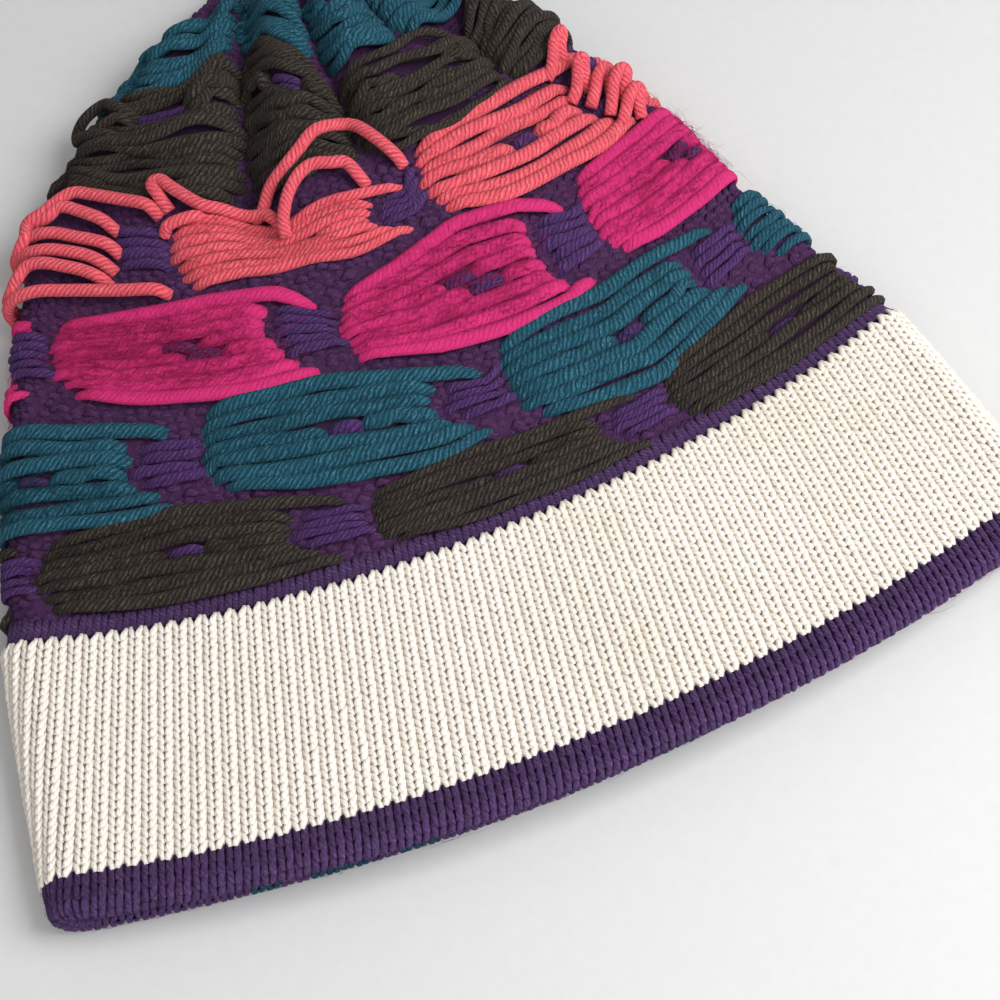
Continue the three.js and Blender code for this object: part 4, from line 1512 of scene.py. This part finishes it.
@dataclass(frozen=True)
class Fuzz:
    """Fine stray fibres of one yarn: three-sided hairs that taper as they curl away from it."""

    name: str
    slot: Slot
    count: int
    low: float
    high: float
    length: float
    height: float
    seed: int
    rise: float = 0.3
    ring: int = -1
    radius: float = 0.06
    upward: float = 1.7
    hair_points: int = 3
    hair_sides: int = 3

    def build(self, form: HatForm, material: bpy.types.Material) -> None:
        """Makes the fibres over a stretch of the hat, or only where a ring's strands lie.

        Args:
            form: The hat's surface.
            material: Finish of the yarn that they come from.
        """
        rng = np.random.default_rng(self.seed)
        tries = 3 * self.count
        u0 = COLUMNS * rng.uniform(0, 1, (tries, 1)) ** self.upward
        d0 = form.band_top + rng.uniform(self.low, self.high, (tries, 1))
        if self.ring >= 0:
            kept = RINGS[self.ring].covers(form, u0[:, 0], d0[:, 0])
            u0, d0 = u0[kept], d0[kept]
        u0, d0 = u0[: self.count], d0[: self.count]
        count = len(u0)
        t = np.linspace(0, 1, self.hair_points)[None, :]
        size = self.length * rng.lognormal(0, 0.35, (count, 1))
        angle = rng.uniform(0, 2 * np.pi, (count, 1)) + rng.normal(0, 1.5, (count, 1)) * t
        rise = np.clip(rng.normal(self.rise, 0.22, (count, 1)), 0.03, 1.0)
        u = u0 + size * t * np.cos(angle) / LOW_COLUMN_RUN
        d = d0 + size * t * np.sin(angle)
        lift = self.height + size * rise * t * (1 - 0.35 * t)
        taper = (1 - 0.75 * t) * self.radius * MM
        geometry = Geometry()
        paths, normals = form.point(u, d, lift), form.normal(u, d, lift)
        add_tubes(geometry, paths, taper, taper, normals, YarnSection.round(self.hair_sides))
        place_piece(geometry, self.name, material, self.slot)


FUZZ = (
    Fuzz("magenta_fuzz", Slot.MAGENTA, 3200, 48, 86, 4.6, 0.1, 21, rise=0.4, ring=2),
    Fuzz("ground_fuzz", Slot.GROUND, 4400, -1, 195, 3.8, -1.8, 22),
    Fuzz("hem_fuzz", Slot.HEM, 1500, -70.0, -57.5, 2.4, -0.1, 23, rise=0.15),
    Fuzz("brown_fuzz", Slot.BROWN, 1100, 3, 28, 3.0, 0.0, 24, rise=0.25, ring=0),
    Fuzz("teal_fuzz", Slot.TEAL, 1300, 21, 54, 3.2, 0.1, 25, rise=0.3, ring=1),
    Fuzz("coral_fuzz", Slot.CORAL, 800, 83, 116, 2.8, 0.4, 26, rise=0.25, ring=3),
    Fuzz("crown_fuzz", Slot.BROWN, 1200, 114, 170, 3.0, 0.6, 27, rise=0.25, ring=4),
)


@dataclass(frozen=True)
class Studio:
    """Pale floor, soft light from the upper right, and the camera at the photograph's angle."""

    focal: float = 72.0
    camera: Point = (-67.41, -305.72, 418.37)
    right: Point = (0.9592, -0.2827, 0.0)
    up: Point = (0.2398, 0.8135, 0.5299)
    roll: float = 7.0
    sensor: float = 36.0
    nearest: float = 0.01
    floor_side: float = 6.0
    lights: tuple[tuple[str, Point, float, float], ...] = (
        ("key_light", (0.42, -0.30, 0.60), 0.5, 6.3),
        ("front_light", (-0.12, -1.0, 0.62), 1.1, 6.4),
    )
    world_strength: float = 0.42

    def build(self) -> None:
        """Makes the floor, the lights, the world and the camera."""
        self._floor()
        for light in self.lights:
            self._light(*light)
        world = bpy.data.worlds.new("studio")
        world.use_nodes = True
        background = world.node_tree.nodes["Background"]
        background.inputs["Color"].default_value = (0.98, 0.98, 1.0, 1.0)
        background.inputs["Strength"].default_value = self.world_strength
        bpy.context.scene.world = world
        bpy.context.scene.view_settings.view_transform = "Standard"
        self._camera()

    def _floor(self) -> None:
        """A wide pale plane at the height that the hat lies on."""
        mesh = bpy.data.meshes.new("floor")
        half = self.floor_side / 2
        corners = [(x * half, y * half, 0) for x, y in ((-1, -1), (1, -1), (1, 1), (-1, 1))]
        mesh.from_pydata(corners, [], [(0, 1, 2, 3)])
        floor = bpy.data.objects.new("floor", mesh)
        bpy.context.scene.collection.objects.link(floor)
        material = bpy.data.materials.new("pale_table")
        material.use_nodes = True
        nodes = Nodes(material.node_tree)
        shader = material.node_tree.nodes["Principled BSDF"]
        grain = nodes.noise(nodes.object_place(), 300.0, 3.0)
        colour = nodes.mix(grain, (0.57, 0.57, 0.565, 1), (0.61, 0.61, 0.605, 1))
        nodes.feed(shader.inputs["Base Color"], colour)
        nodes.feed(shader.inputs["Roughness"], 0.6)
        mesh.materials.append(material)

    def _light(self, name: str, place: Point, size: float, power: float) -> None:
        """Adds a square area light that faces the hat.

        Args:
            name: Name of the light.
            place: Its place in metres.
            size: Side of the square in metres.
            power: Its power in watts.
        """
        data = bpy.data.lights.new(name, "AREA")
        data.size = size
        data.energy = power
        light = bpy.data.objects.new(name, data)
        back = np.array(place) / np.linalg.norm(place)
        side = np.cross((0.0, 1.0, 0.0), back)
        side /= np.linalg.norm(side)
        light.matrix_world = self._matrix(side, np.cross(back, side), back, np.array(place))
        bpy.context.scene.collection.objects.link(light)

    def _camera(self) -> None:
        """Adds the camera, rolled about its own view line."""
        data = bpy.data.cameras.new("camera")
        data.lens = self.focal
        data.sensor_width = self.sensor
        data.clip_start = self.nearest
        camera = bpy.data.objects.new("camera", data)
        right, up = np.array(self.right), np.array(self.up)
        angle = np.radians(self.roll)
        x = np.cos(angle) * right - np.sin(angle) * up
        y = np.sin(angle) * right + np.cos(angle) * up
        x, y = x / np.linalg.norm(x), y / np.linalg.norm(y)
        camera.matrix_world = self._matrix(x, y, np.cross(x, y), np.array(self.camera) * MM)
        bpy.context.scene.collection.objects.link(camera)
        bpy.context.scene.camera = camera

    @staticmethod
    def _matrix(x: Array, y: Array, z: Array, place: Array) -> Matrix:
        """World matrix with the given axes and place."""
        rows = np.eye(4)
        rows[:3, 0], rows[:3, 1], rows[:3, 2], rows[:3, 3] = x, y, z, place
        return Matrix(rows.tolist())


def main() -> None:
    """Loads the frame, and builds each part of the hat."""
    logging.basicConfig(level=logging.INFO, format="%(name)s %(message)s")
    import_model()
    form = HatForm()
    finishes = Finishes()
    CreamFacing(form).build(finishes)
    TurnedHem(form).build(finishes)
    PatternedBag(form).build(finishes)
    yarns = {
        Slot.BROWN: finishes.brown,
        Slot.TEAL: finishes.teal,
        Slot.MAGENTA: finishes.magenta,
        Slot.CORAL: finishes.coral,
    }
    for ring in RINGS:
        ring.build(form, yarns[ring.slot])
    # The hem's fuzz takes the lighter hem copy, with the painted light of the nose.
    yarns |= {Slot.GROUND: finishes.violet, Slot.HEM: finishes.hem_lit}
    for fuzz in FUZZ:
        fuzz.build(form, yarns[fuzz.slot])
    Studio().build()
    bpy.context.view_layer.update()


if __name__ == "__main__":
    main()
